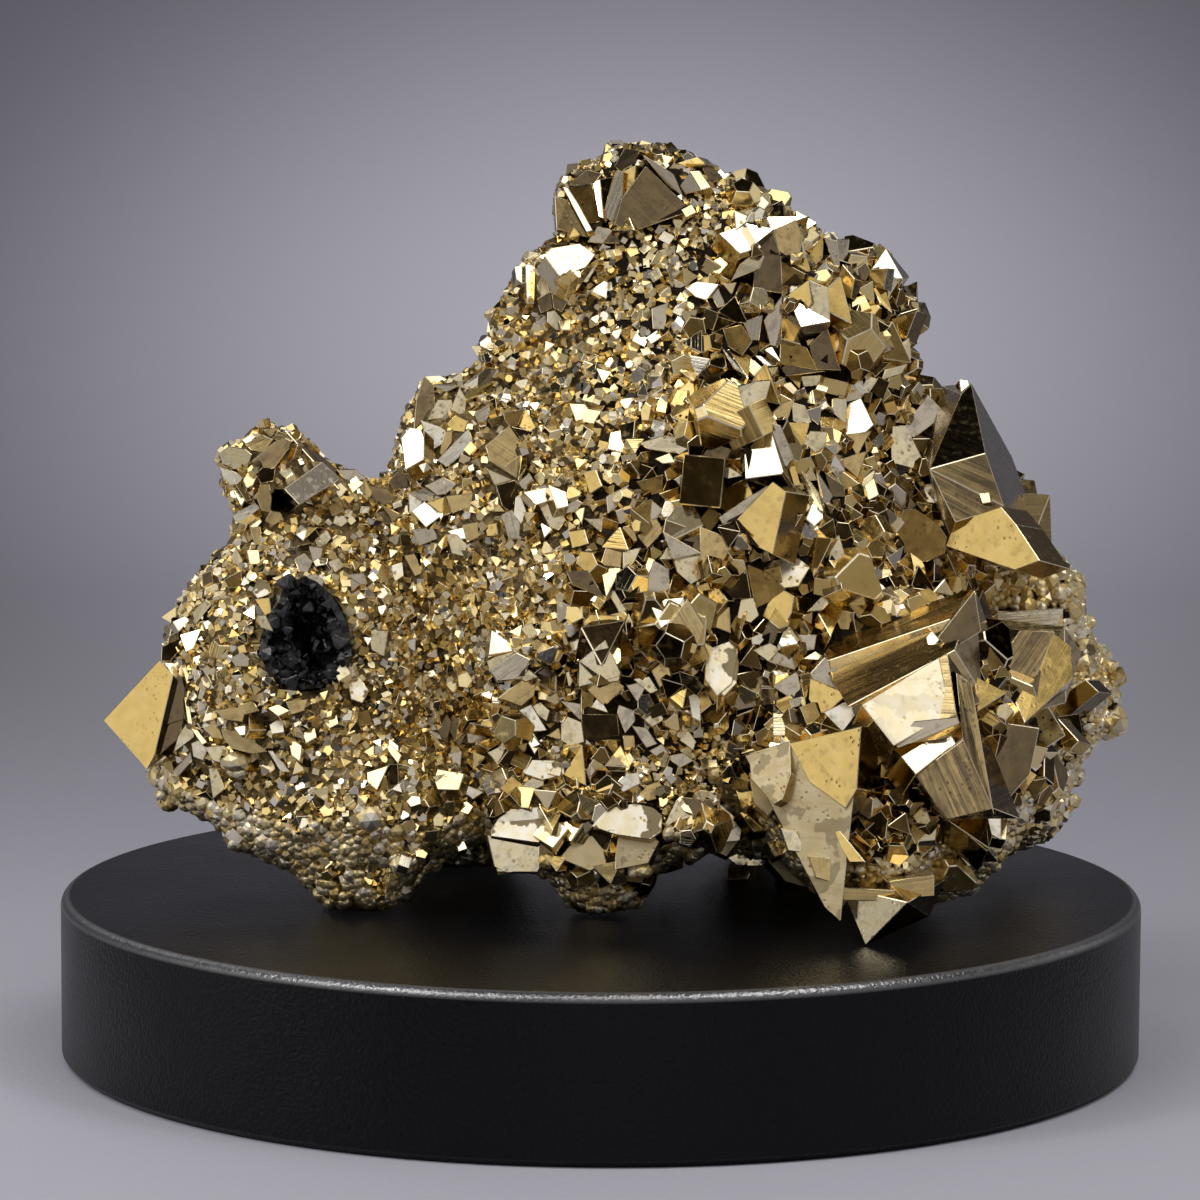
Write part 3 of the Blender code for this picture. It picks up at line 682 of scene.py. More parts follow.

# Middle-sized crystals that stand out from the rest, each known by its front face: its finish,
# how far back its middle is, its turn to the right and its rise in degrees, and its corners to
# the right and up, all in mm. Behind that face each is a block that widens into the mass.
# Finishes here follow how bright each face looks, so the white, bright and pale ones carry painted highlight
# and the dark and black ones painted shade, in hollows too, besides the metal's own tarnish.
PLACED_FACES = (
    ("beige", -22.1, -1, 6, 15.6, 99.4, 21.8, 101.4, 17, 98),
    ("beige", -23.6, 3, 8, 21.8, 101.5, 23.8, 101.7, 22.2, 96, 19.6, 95.3, 17, 98.1),
    ("white", -27.2, -18, 28, 23.5, 95.9, 22.4, 94.2, 20.2, 91.3, 21.4, 89.7, 20.3, 88.2, 25.3, 89, 25.5,
      89.3),
    ("greyish", -25.2, 0, 9, 23.5, 95.9, 25.2, 95.3, 27, 91.1, 25.7, 89.2),
    ("amber", -22.6, 21, 44, 19.8, 94.6, 22, 94, 20.5, 91.9, 18.7, 92.4),
    ("amber", -18.2, 23, 44, 26.6, 95.1, 29.6, 94.9, 28.9, 92.6, 27.5, 91),
    ("beige", -17.8, 2, 9, 28.9, 92.5, 29.8, 93.9, 32.1, 93.8, 32, 92.2, 30.5, 90.8),
    ("white", -12.7, -16, 27, 35.2, 97.3, 37.3, 98.1, 39, 94.6, 37.9, 93.6, 35.2, 93.1),
    ("beige", -12.8, 2, 9, 33.2, 98.2, 35.1, 98.2, 35.1, 94.7, 33.2, 96.3),
    ("olive", -13.7, 0, 5, 35.1, 93.1, 38.6, 93.6, 36.7, 90.2),
    ("olive", -16, 4, 7, 34.1, 89.6, 36.3, 90.4, 37.9, 90.8, 36.7, 87.2),
    ("beige", -21.2, 1, 9, 5.3, 92.5, 8.9, 93.5, 11, 93.2, 12.4, 91.9, 11, 91.1, 6.5, 91.7),
    ("dark", -21.6, 2, 7, 12.7, 90.7, 15.6, 92.5, 20.1, 91.1, 15.9, 90.1),
    ("greyish", -24.3, 3, 5, 10.3, 87.6, 13.7, 89.6, 14.7, 87.6, 12.4, 85.3),
    ("beige", -22.3, 3, 7, 16.2, 90.2, 19.9, 88, 16.7, 87.4),
    ("amber", -22.5, 21, 45, 8.9, 88.6, 10.5, 89.6, 11.1, 88.3, 9.2, 87.4),
    ("bright", -21.7, -20, 28, 7.6, 90.2, 9.5, 91, 10.2, 89.9, 8.6, 89.7),
    ("gold", -29.4, -31, 13, 24.1, 87.7, 25.9, 86.5, 24.1, 77.8, 17.8, 80.6),
    ("grey_lined", -26.3, 3, 6, 16.6, 82.4, 23.9, 87.2, 17.8, 80.5),
    ("gold", -23.9, -28, 13, 20.5, 87.7, 21.4, 85.4, 17.7, 82.5, 16.3, 81.7, 17.7, 86.2),
    ("amber", -23.2, 23, 46, 27.2, 90, 28.1, 86.9, 26.1, 86.7, 25.5, 88.1),
    ("bright", -21.7, -18, 29, 27.6, 89.8, 30.9, 85.4, 31.5, 83.1, 29.9, 83.3),
    ("greyish", -20, 3, 6, 30.7, 88.3, 32.9, 84.9, 32, 83, 31.3, 85.2),
    ("dark", -18.6, 3, 7, 32.1, 87.9, 34.7, 86, 34.6, 84.7, 33, 84.7),
    ("olive", -23.3, 1, 6, 26.3, 85.8, 29.6, 85.2, 28.4, 82.5, 25.8, 81.8),
    ("dark", -27.4, 2, 6, 25.7, 82.2, 28.3, 82.9, 25.1, 77.6),
    ("greyish", -24.9, 3, 6, 0.6, 85.1, 3.5, 86.6, 3, 84.5, 0.8, 82.9),
    ("greyish", -24.6, 2, 7, 5.3, 83.5, 7, 84.5, 8.6, 83.2, 7.3, 81.6),
    ("dark", -28, 2, 6, 9, 82.1, 13, 80.7, 13.9, 80.4, 13.7, 77.5, 8.7, 80.4),
    ("greyish", -29.8, 0, 9, 8.7, 80.5, 13.8, 77.7, 10.1, 76.9),
    ("olive", -29.3, 3, 8, 13.9, 81.2, 18.7, 79.3, 15.7, 74.3, 14.4, 75.7, 13.9, 78.1),
    ("beige", -26.5, 4, 6, 10.3, 76.2, 13.9, 77.2, 15.1, 74.3, 12.6, 72.9, 10.7, 74.6),
    ("beige", -26.2, 3, 6, 8.1, 76.4, 9.3, 78, 10, 76.4),
    ("olive", -26.4, 4, 8, 0.6, 78.2, 2.7, 78, 2.5, 75.3, -0.2, 75.6),
    ("bright", -26.9, -16, 29, -0.2, 75.2, 2.5, 75, 0.6, 71.2),
    ("beige", -26.8, 3, 5, 3, 77.5, 5.3, 77.9, 3, 72.8),
    ("dark", -27.2, 1, 5, -5, 74.5, -2.1, 74.7, 0.1, 71, -4.2, 72.8),
    ("greyish", -27.1, 0, 6, 7.3, 76.1, 9.4, 74.9, 9.4, 72.2, 7.3, 70, 5.8, 72.2),
    ("bright", -26.9, -16, 26, 6.4, 76.6, 7.4, 76.2, 5.8, 72.9, 5.3, 73.8),
    ("amber", -27.7, 22, 44, 10.3, 74.8, 12, 72.3, 9.3, 71.3),
    ("gold", -27.8, -28, 14, 9.3, 70.5, 15, 73.2, 15.4, 72.4),
    ("white", -32.1, 14, 34, 7.1, 70.1, 8.9, 71.1, 12, 71.3, 10.4, 68.2, 8.6, 66.9),
    ("olive_lined", -35.1, 3, 5, 12, 71.6, 14.3, 67.9, 13.7, 65.8, 11, 63.1, 8.8, 67.1, 10.3, 68.5),
    ("gold", -28.7, -29, 11, 13.6, 68.9, 15.7, 73.6, 17.7, 70.9, 16.3, 69.3, 15, 67.4),
    ("olive", -28.3, 2, 8, 15, 67.4, 16.3, 69.2, 18, 69.9, 18.2, 66.2),
    ("black", -27.5, 2, 8, 16.3, 74.4, 20.4, 75, 21.1, 71, 17.9, 71),
    ("brown", -27.2, 2, 6, 20.7, 75.7, 23.8, 74.4, 26, 72.2, 22.1, 70, 21.2, 72.8),
    ("beige", -28, 1, 6, 19.8, 70.7, 21.4, 71, 22.2, 68.6, 21.1, 67.6, 19.3, 68.3),
    ("gold", -28.5, -30, 12, 22, 69, 25.9, 72.1, 27.2, 71.4, 26.9, 69.3, 25.6, 66.9),
    ("frosted", -26.2, 2, 29, 22.1, 75.9, 27.9, 76.4, 29.5, 75.2, 27.9, 72.8, 26, 72.5, 24.9, 74.6),
    ("gold", -25.1, -32, 12, 29.8, 79.4, 32.7, 79.3, 30.2, 73.9, 29.5, 76),
    ("beige", -25, 0, 9, 32.8, 78.9, 33.7, 79.6, 34.8, 76, 32.4, 76.3),
    ("amber", -26, 22, 44, 32.4, 76.2, 34.9, 75.9, 33.6, 74.6),
    ("beige", -26.8, 4, 7, 29.4, 69.1, 32.9, 72.7, 33.6, 71.9, 31.3, 69.3),
    ("white", -23.4, 14, 33, 34.9, 70.5, 38.4, 73.7, 40.5, 71.8, 37.9, 68.3, 36.7, 68),
    ("amber", -26, 22, 42, 30.9, 68.7, 33, 70.6, 34.6, 70, 32.5, 65.8),
    ("bright", -32.3, 17, 34, 0.6, 65, 2.5, 64, 2.6, 62.6, 1.6, 61.6, 0.6, 62.1),
    ("bright", -14.3, -17, 30, -4.8, 97.3, 0.1, 97.2, -1.4, 94.8, -3.9, 95.1),
    ("bright", -19.3, 16, 35, 1.1, 93.7, 3, 94, 2.8, 91.1, 0.7, 91.6),
    ("gold", -22.3, -28, 11, -2.7, 88.2, -1.1, 88.6, -0.2, 86.5, -1.8, 85.4),
    ("bright", -16.4, -18, 27, 37.2, 85.4, 39.1, 86.9, 39.7, 84.8, 38.4, 84.1),
    ("gold", -20.8, -31, 12, 36.4, 81, 39.1, 82.2, 40.4, 80, 37.9, 78),
    ("olive", -16.8, 1, 8, 24.2, 97.2, 27.4, 98.4, 26.3, 95.3, 25.5, 95.3),
    ("beige", -15.9, 2, 6, 27.2, 97.9, 29, 97.4, 29.9, 95.2, 27.4, 95),
    ("amber", -15, 22, 44, 31.4, 95.7, 33.2, 95.6, 33, 94.3, 31.5, 94.4),
    ("dark", -22.3, 3, 5, 14.6, 97.4, 18.9, 95.5, 19.6, 94.9, 18.9, 92.6, 15.9, 93.2, 14, 94.2),
    ("brown", -22.5, 0, 8, 4.9, 87, 8.6, 88, 8.6, 85.7, 6.4, 85.1),
    ("bright", -22.7, -17, 27, -4.1, 82.9, -2.7, 83.2, -3, 81.2),
    ("beige", -24, 0, 10, -2.4, 81.8, 0.1, 81.8, -0.2, 80),
    ("gold", -24.2, -31, 10, -4.8, 79.8, -2.7, 80.3, -2.1, 78.5, -4.3, 77.8),
    ("beige", -25.1, 0, 7, -2.1, 77.6, -0.5, 77, -3.2, 75.2, -3.7, 76.3),
    ("olive", -25.8, 0, 8, 5.1, 81.7, 7.6, 82, 8.6, 80.4, 6.4, 78, 5.1, 79.6),
    ("olive", -26, 4, 6, 3, 80.9, 4.3, 81.1, 4.8, 79, 3.5, 78.7),
    ("beige", -27.3, 1, 8, 1.1, 71.2, 1.7, 71.8, 4.7, 66.9, 3.8, 66.7),
    ("bright", -27.9, 17, 36, 5.3, 70.9, 5.7, 69.8, 6.7, 69.4, 5.4, 68),
    ("amber", -28.7, 21, 45, 4.9, 66.7, 6.7, 69.3, 7.3, 67.6, 6.4, 66),
    ("greyish", -30.1, 3, 5, 6.7, 66.7, 8.5, 67, 9.8, 63, 8.5, 63.3),
    ("amber", -27.3, 23, 43, -0.9, 69.1, 0.5, 69.6, 0.6, 67.8, -0.5, 67.9),
    ("beige", -29.2, 3, 10, 21.6, 63.7, 23.8, 64.6, 25.3, 64, 23.7, 62.2),
    ("bright", -27.6, 12, 32, 28.8, 62.3, 30.4, 63.2, 32.3, 62),
    ("greyish", -27, 1, 9, 27.9, 65.6, 30.5, 65.6, 30.2, 63.7, 28.9, 63.4),
    ("speckled", -29.4, -1, 30, 14.9, 63.4, 18.2, 65.6, 19.3, 63.5, 18.4, 59.2, 16.4, 57.6, 14.7, 59.9),
    ("white", -33.1, 14, 33, -15.8, 65.5, -13.6, 65.4, -13.3, 64.3, -16.1, 63.2),
    ("beige", -33.7, 3, 7, -16.2, 62.6, -15.2, 63.1, -12.5, 63.9, -15.8, 61.3),
    ("grey_lined", -35.3, 1, 9, -15.5, 61.5, -11.8, 64, -10.3, 62.4, -12.5, 60.3, -14.7, 60.1),
    ("beige", -29.6, 1, 9, -12, 59.9, -10.4, 60.7, -9.3, 59.8, -10.9, 59.2),
    ("olive", -23.9, 2, 6, -14.7, 56, -11.3, 58.5, -9.5, 58.3, -9.9, 56.3, -11.6, 54.9),
    ("beige", -34.8, 1, 9, -3.1, 62.7, 0.3, 65.5, 2.4, 60.7, -3.1, 59.3),
    ("gold", -26.7, -29, 14, 2.5, 59.7, 3.5, 62.3, 4.4, 60.3, 3.9, 59.6),
    ("olive", -25.6, -1, 7, -2.7, 57.9, 2, 58.7, 3.1, 57.9, 0.7, 55.5),
    ("beige", -25.5, 3, 8, -5.9, 59.9, -4.9, 60.3, -4.2, 58.7, -4.6, 58, -5.8, 58.5),
    ("black", -25.8, 2, 8, -2.9, 53.8, 2.1, 53.7, 2.4, 51, -2.6, 50),
    ("brown", -24.9, 3, 8, -2.9, 57.2, -1.1, 56.4, -2, 53.8, -2.9, 54),
    ("beige", -24.7, 2, 8, -2, 53.8, -0.6, 56.2, 0.7, 54.3),
    ("greyish", -24.3, 2, 7, -5.8, 55.5, -3.1, 55.1, -3, 52.8, -4.2, 53.9),
    ("beige", -26.2, 2, 8, -5.7, 52.5, -4.9, 53.5, -3, 52.7, -2.6, 49.9, -4.4, 49.4, -5.7, 50.3),
    ("bright", -24.6, 15, 31, -6, 52.8, -5.2, 53.3, -5.5, 52.2),
    ("olive", -25.1, 2, 9, -7.7, 50.7, -6.2, 51.6, -5.9, 50.1),
    ("pale", -24.4, 2, 8, -12, 54, -10.2, 54.9, -8, 51.4, -10.5, 51.2),
    ("beige", -24, 1, 7, -9.9, 54.8, -8.8, 55.2, -7.6, 54.1, -8, 52.7, -9.1, 53.5),
    ("amber", -19.2, 24, 42, -19.7, 52.7, -18.5, 54.7, -16.7, 53.8, -15.1, 52.5, -19.4, 52.2),
    ("white", -20.3, 17, 36, -18.7, 51.7, -15, 52.2, -15.1, 50.9),
    ("gold", -14.8, -27, 10, -21.8, 51.8, -19.2, 50.6, -21.5, 48),
    ("dark", -15.3, 0, 10, -24, 48.9, -22.6, 52.1, -21.9, 51.1, -22.7, 48.4),
    ("beige", -15.4, 1, 6, -19.5, 49.2, -18.8, 50.3, -16.9, 49.2, -19.2, 48.1),
    ("bright", -20.6, 16, 32, -18, 48.8, -15.5, 49.6, -13.9, 49.3, -16.3, 48.1),
    ("beige", -22, 1, 8, -16.3, 47.6, -13.7, 48.9, -14.9, 46.1),
    ("black", -23.9, 3, 5, -14.6, 46.6, -13, 48.8, -11.6, 47.7, -13.8, 45.5),
    ("olive", -18.9, 3, 7, -18.6, 48, -16.4, 46.8, -18.5, 44.8),
    ("greyish", -18.9, 1, 8, -22.1, 46.9, -20.3, 47.3, -20.6, 44.7, -21.9, 45.6),
    ("beige", -22.7, 0, 9, -24.2, 44.2, -20.2, 45, -22.7, 41.8),
    ("pale", -21.3, 0, 8, -21.1, 43.4, -17.2, 41.8, -18.5, 40.9, -20.2, 42),
    ("white", -25.3, -20, 28, -10.9, 50.6, -10.2, 50.9, -8.9, 49.5, -9.9, 49.1),
    ("speckled", -27.1, 3, 31, -11.2, 45.8, -9.9, 47, -8.2, 47, -8.8, 45, -10.4, 45),
    ("speckled", -28.3, -1, 30, -7.9, 47, -5.5, 47.2, -6, 45.4, -7.7, 45.7),
    ("gold", -29.1, -28, 11, -5.3, 45.6, -2.8, 49.7, -2.3, 44.4),
    ("greyish", -29.6, 1, 9, -2, 45.9, -1.6, 47.2, -0.8, 46.1, -1.6, 44.8),
    ("beige", -26, 3, 7, 3.6, 58.2, 5.8, 57.7, 5, 56.1),
    ("beige", -26.6, 2, 8, 4.6, 59.1, 6.7, 59.4, 7.9, 57.5, 6.9, 57.2),
    ("olive", -27.5, 1, 8, 7.2, 60.4, 9.1, 62, 9.8, 59.6, 8.3, 58.2),
    ("greyish", -25.4, 2, 9, 2.3, 54, 2.5, 55.1, 4.5, 54.3, 4.7, 52.9, 3.4, 51.3),
    ("beige", -26.4, 2, 7, 5.8, 53.6, 7.8, 54.4, 8.9, 53.3, 7.2, 52.3),
    ("greyish", -26.5, 1, 10, 4.5, 52.2, 6.4, 51.9, 7.8, 49.8, 6.4, 49.3),
    ("greyish", -26.9, 0, 6, 9.4, 47.9, 11.6, 48.4, 13, 47.4, 11.3, 46.5),
    ("greyish", -27.1, -1, 9, 6.9, 48.8, 8.6, 49.7, 9.4, 48.5, 8, 48),
    ("beige", -26.7, 4, 6, 11.3, 50.4, 12.4, 51.6, 13.4, 50.1, 13, 49),
    ("speckled", -28.3, 0, 28, 12.4, 56.8, 14, 57.3, 14, 53.5, 13, 54),
    ("olive", -26.8, 2, 7, 3.3, 49, 4.7, 49.3, 4.5, 50.9, 3.1, 50.9),
    ("white", -14.2, 14, 36, 16.6, 122.1, 20.4, 123.3, 21.9, 120.8, 22.5, 120.2, 19.5, 119.4),
    ("white", -14.2, 15, 35, 20.4, 123.5, 24.3, 122.7, 21.8, 120.9),
    ("white", -10.2, 17, 34, 22.8, 124.3, 29.2, 124.2, 24.3, 122.6),
    ("olive", -11.7, 2, 8, 24.5, 122.4, 27.6, 123.9, 28.6, 121.7, 28.2, 119.4, 25.5, 118.8),
    ("dark", -12.6, 0, 8, 24.3, 122.3, 25.4, 118.8, 25.7, 113.6, 21.6, 114.2, 22.3, 116.4, 23, 119, 22.1,
      120.7),
    ("beige", -14.1, 4, 10, 18.6, 115.7, 19.7, 117.8, 22.5, 119.9, 23, 118.9, 22.3, 117.2),
    ("brown", -9.5, -1, 8, 25.1, 118.1, 29.6, 115.8, 26.1, 113.3),
    ("amber", -6.3, 22, 43, 26.2, 118.4, 29.5, 118.1, 30, 116.1, 26.6, 118),
    ("amber", -3, 21, 46, 30, 118.3, 32.1, 121.5, 31.8, 118.2, 30.8, 117.2),
    ("gold", -6.2, -27, 12, 34.3, 115.3, 34.8, 117.1, 36.4, 115.2, 35.9, 112.6, 34.4, 112.8),
    ("beige", -14.4, 1, 8, 29.6, 115.4, 32.2, 114.3, 32.5, 109.7, 30.2, 110.1, 29.2, 111),
    ("white", -15.2, 17, 35, 26.6, 112.9, 28.7, 111.4, 32.5, 109.6, 28.4, 109),
    ("gold", -14.2, -32, 11, 26.4, 113, 29.4, 115.4, 29.8, 112.3, 28.9, 111),
    ("amber", -13.3, 24, 44, 25.9, 111.9, 28.3, 106.3, 25.6, 107.1),
    ("olive", -11.4, 2, 9, 28.6, 108.6, 32.6, 109.2, 29.6, 105.8),
    ("dark", -13.8, 2, 9, 29.8, 106, 32.2, 108.5, 34.1, 102.6, 30.8, 102.7),
    ("brown", -14.6, 2, 6, 25.6, 106.9, 29.2, 105.7, 30.7, 102.7, 25.5, 103.5),
    ("dark", -13.7, 0, 10, 25.5, 103.2, 31.3, 102.3, 26.4, 101.7),
    ("greyish", -9.1, -1, 8, 33.1, 113.2, 34.3, 112.5, 35.4, 108.9, 33.7, 108.7),
    ("amber", -9.7, 24, 43, 34.4, 112.3, 36.3, 110.6, 35.3, 109),
    ("gold", -13.2, -32, 12, 32.5, 107.1, 34.7, 108.4, 33.7, 105.5, 33.1, 104.9),
    ("greyish", -12.9, 1, 7, 23.2, 109.6, 25.7, 113, 25.6, 107.2, 24.3, 105.3),
    ("greyish", -14.1, 1, 10, 20.2, 109.4, 22.8, 110.3, 22.3, 106.9, 21.3, 106.9),
    ("black", -13.8, 0, 10, 16.6, 110.9, 18.9, 113, 20.6, 109.4, 19.2, 109.4),
    ("brown", -14.4, -1, 10, 15.7, 107.9, 16.5, 110.1, 18.9, 109.4),
    ("brown", -15.1, 1, 9, 17.3, 108.4, 19.8, 109, 21.3, 106.7, 19.9, 104.8, 18, 106.1),
    ("white", -16.1, -18, 29, 17, 105.8, 18.2, 105.2, 20.2, 102.2, 18.8, 103),
    ("amber", -16, 23, 46, 18, 105.4, 21.1, 104.5, 20.7, 101.6, 19.9, 103.4),
    ("bright", -14.8, 13, 33, 21, 102.4, 21.2, 104.2, 23.6, 102.2, 22, 101.4),
    ("white", -14.2, 13, 35, 21.9, 104.5, 24.7, 104, 24.9, 103.2, 23.4, 103.2),
    ("white", -14.5, 15, 32, 23.3, 105.4, 24.2, 105.8, 25.4, 103.7),
    ("greyish", -13, 0, 8, 15.2, 113.9, 16.3, 114.5, 17.4, 111.9, 16.5, 111.5),
    ("white", -12.7, -19, 27, 11.8, 114.2, 13.5, 115, 16.5, 114.7, 14.8, 112.6, 13.3, 113),
    ("greyish", -1.6, 0, 9, 32.3, 120.9, 34, 120.3, 34.4, 116.8, 33.8, 116.6),
    ("greyish", -0.5, 2, 10, 34.1, 120.5, 35.8, 120.6, 35.6, 118.5, 34.5, 117),
    ("dark", -2.1, 3, 7, 36.6, 116, 38.1, 117.2, 38.9, 116, 38.1, 114.7),
    ("gold", -2.8, -31, 10, 39, 116.2, 41.3, 116.5, 40.9, 113.7, 38.8, 114),
    ("greyish", -1.8, 0, 8, 41.3, 116.2, 43, 114.6, 41.6, 112.3),
    ("amber", -3.9, 24, 43, 39.4, 113.6, 41, 113.8, 41.9, 110.3, 40.4, 111.6),
    ("gold", -4.1, -30, 14, 42.2, 109.1, 45.6, 110.3, 44.1, 106.4, 42.3, 106.9),
    ("beige", -7.3, 4, 5, 41.8, 104.8, 44.4, 106.5, 44.7, 103.9, 43.3, 101.6, 40.5, 100.7),
    ("pale", -8.1, -1, 9, 30.3, 115.9, 32.2, 117.9, 32.5, 116.6, 32.2, 114.2),
    ("black", -11.8, 1, 7, 36.2, 108.8, 39, 109.9, 41.3, 108.6, 38.3, 106.5, 36.6, 106.9),
    ("black", -10.4, 2, 9, 38.2, 103.3, 41.4, 103.3, 39.4, 101.4),
    ("greyish", -12.4, -1, 10, 37.6, 103.9, 40.2, 106.3, 41.4, 105.4),
    ("beige", -10.3, 4, 7, 37.1, 98.8, 38.4, 101.4, 39.7, 100.9, 38.4, 99),
    ("black", -9.4, 1, 6, 38.6, 99.6, 40, 101.1, 41.5, 100.4, 40.6, 97.9),
    ("bright", -12.8, 15, 32, 31.6, 101.5, 32.6, 100.1, 32.2, 99.3, 30.7, 99.7),
    ("beige", -12.6, 2, 10, 28.6, 101.4, 31.4, 101.6, 31.2, 100.3, 29, 100.1),
    ("olive", -6.9, 2, 9, -7.1, 126.9, -5.4, 126.4, -2.5, 121.3, -6.8, 122.4),
    ("white", -7.3, -16, 26, -5.9, 128.2, -5.2, 128.2, -1.8, 122.3, -2.5, 122.1),
    ("brown", -7.1, 0, 9, -5.2, 128.2, -1.9, 128.9, -0.7, 123.5, -2, 123.3),
    ("white", -7.8, -19, 26, -1.6, 129.1, -0.7, 129.4, -0.2, 124.1, -0.7, 124.3),
    ("dark", -7.1, -1, 9, -0.6, 129.4, 1.2, 129.8, -0, 125.1),
    ("dark", -6.4, -1, 5, -4.3, 129.4, -2.5, 130.8, -0.5, 130.3, -1.8, 128.7, -4.8, 128.7),
    ("grey_lined", -6.7, 4, 9, 0.2, 126.2, 1.8, 130.7, 2.7, 130.5, 2.6, 126.9, 1.4, 123.3, -0.2, 124.4),
    ("gold", -5.9, -30, 11, 2.7, 130.4, 4.5, 131.4, 4.3, 129.1, 2.6, 126.9),
    ("olive_dark", -9.7, 3, 9, 6, 131.4, 12.4, 125.2, 4.5, 122.4, 3.4, 124.8, 1.6, 123.2, 2.7, 127),
    ("gold", -10.4, -29, 12, 1.3, 122.3, 3.6, 124.1, 4.3, 122.5),
    ("dark", -3.1, 2, 10, 1.6, 131.3, 2.9, 133.7, 5, 133.5, 4.3, 131.7, 2.3, 130.6),
    ("grey_lined", -7.6, 2, 5, 5.9, 132.8, 9.9, 130.3, 11.3, 127.2, 9, 129),
    ("greyish", -5.2, -1, 8, 11.1, 128.6, 12.5, 130.4, 14, 128, 11.8, 127.5),
    ("bright", -4.5, -17, 29, 12.5, 130.5, 13.8, 130.6, 15.4, 128.4, 14, 128),
    ("gold", -2.6, -31, 11, 10.9, 131.6, 13.6, 132.6, 14.8, 131.7, 12.3, 131.2),
    ("dark", -1.7, 0, 7, 14.3, 131.2, 15.7, 131.2, 17.1, 129.8, 15.5, 128.7),
    ("dark", -4.6, 0, 9, -8.4, 120.4, -6.4, 121.3, -4.8, 120.9, -6.1, 119.8),
    ("greyish", -8.1, 0, 6, -2.2, 120.6, -0.9, 122.7, 1.1, 122.2, -0.2, 120.4),
    ("dark", -7.5, 3, 7, -0, 120.4, 1.1, 122.2, 2.4, 120.4),
    ("white", -12.8, 14, 36, -8.5, 118.7, -7.6, 119.7, -3.6, 120.3, -3.2, 119, -1.4, 118.8, -3.6, 116,
      -4.9, 115, -6.1, 115.6),
    ("beige", -7.7, 3, 6, -3.6, 115, -1.4, 118.3, -0.5, 117.9, -2.5, 114.7),
    ("olive_lined", -8.5, 0, 7, -9.3, 118.2, -5.9, 116.1, -5.9, 113.9, -7.9, 113.2),
    ("white", -2.6, 14, 34, -13, 116.4, -12.1, 116.6, -11.8, 114, -12.7, 114.7),
    ("white", -5.8, 16, 35, -11.4, 116.8, -10.1, 116.7, -10.2, 111.6, -11.1, 111.6),
    ("beige", -6.3, 0, 8, -9.6, 114, -9.1, 115.3, -7.9, 113.3, -9.1, 112.2),
    ("dark", -6.8, -1, 5, -9.7, 112, -7.9, 113.1, -7.6, 110.8, -9.1, 110.2),
    ("dark", -7.2, -1, 6, -7.5, 112.9, -5.4, 111.8, -6.1, 110.4, -7.2, 110.9),
    ("olive", -7.2, 3, 7, -7.7, 113.1, -5.9, 113.8, -4.3, 113.6, -5.4, 112),
    ("beige", -7.4, 1, 7, -8.1, 110.2, -7.2, 110.4, -5.9, 108.8, -6.8, 107.7, -8.1, 108.8),
    ("bright", -8.2, 13, 32, -6.4, 109, -4.5, 109.5, -5, 107.8, -6.1, 107.8),
    ("greyish", -12.9, 3, 7, 7, 111.2, 9.2, 111.9, 8.7, 108.3, 7.2, 108.4),
    ("gold", -41.3, -30, 11, 26.6, 51.5, 36.3, 54.6, 35.7, 46.2, 34.2, 43.5, 29.4, 46.5),
    ("grey_lined", -0.1, 1, 6, 55.5, 65.3, 68.1, 66.2, 66.7, 62.9, 57.8, 63),
    ("bright", -2.3, 16, 35, 52.3, 100.1, 53.3, 100, 54, 98.2, 52.5, 98.4),
    ("frosted", -7.8, 0, 30, 46.9, 85.3, 49.1, 85.3, 49, 82.8, 46.8, 82.8),
    ("greyish", -3, 1, 8, 44.3, 93.5, 47.6, 98, 50.1, 95.2, 45.4, 91.7),
    ("beige", -7.3, 2, 8, 41.9, 93.7, 44.1, 93.8, 46.9, 88.3, 43.5, 86.7, 42.2, 87.8),
    ("brown", -16.2, 4, 10, 42, 78.1, 43.5, 82.4, 45.1, 82.5, 48.3, 80.5, 49.7, 78.4, 49.3, 76.3, 46.8,
      75.2, 43.5, 75.2),
    ("bright", -30.7, 14, 31, 54.9, 41.1, 58, 40, 57.6, 37, 55.1, 37.5),
    ("brown", -37.5, 1, 9, 36.8, 46.9, 37.4, 53.3, 41.7, 53.4, 41.4, 46.9),
    ("black", -37, 2, 8, 39.4, 49, 42.3, 48.7, 42, 44.8, 39.7, 45.1),
    ("white", -19.4, -20, 29, -28.2, 88.6, -28.9, 92.7, -27.8, 94.1, -25.8, 93.9, -25.8, 90),
    ("white", -33.2, 14, 35, -16, 63.6, -15.7, 66.7, -11.9, 64.1),
    ("grey_lined", -35.3, -1, 6, -15.9, 61.5, -12.2, 63.9, -10.3, 63, -11.6, 60.4, -14.7, 60),
    ("bright", -23.1, -17, 25, -24.4, 42.5, -23.6, 45.1, -19.9, 44.7, -20.6, 42.6),
    ("speckled", -32.4, -1, 30, -15.6, 38.2, -14.5, 39.7, -12.4, 40.9, -9.7, 40.9, -7.9, 39.4, -8.9,
      36.6, -11.3, 37, -15.6, 37.4),
    ("beige", -32.7, 3, 8, -16.1, 37.3, -8.8, 36.4, -8.9, 32.5, -13.5, 32.2, -15.1, 33),
    ("dark", -32.9, -1, 6, -8.8, 36.5, -6.2, 35.6, -8.9, 32.7),
    ("amber", -32.1, 24, 44, -8.8, 41.8, -5.9, 42, -5.5, 40.6, -7.1, 38.9),
    ("beige", -34.4, 0, 5, 9.3, 39.3, 11.5, 43.1, 13.2, 41.5),
    ("dark", -34.7, 0, 10, 13.2, 41.5, 11.5, 43.2, 15.6, 42.9, 16.2, 40.1, 13.9, 39.3),
    ("gold", -20.7, -32, 12, 50.9, 80.6, 57.2, 83.3, 59.2, 81, 62.4, 76.3, 59.1, 74.8, 56.1, 75.8, 49.7,
      77.4),
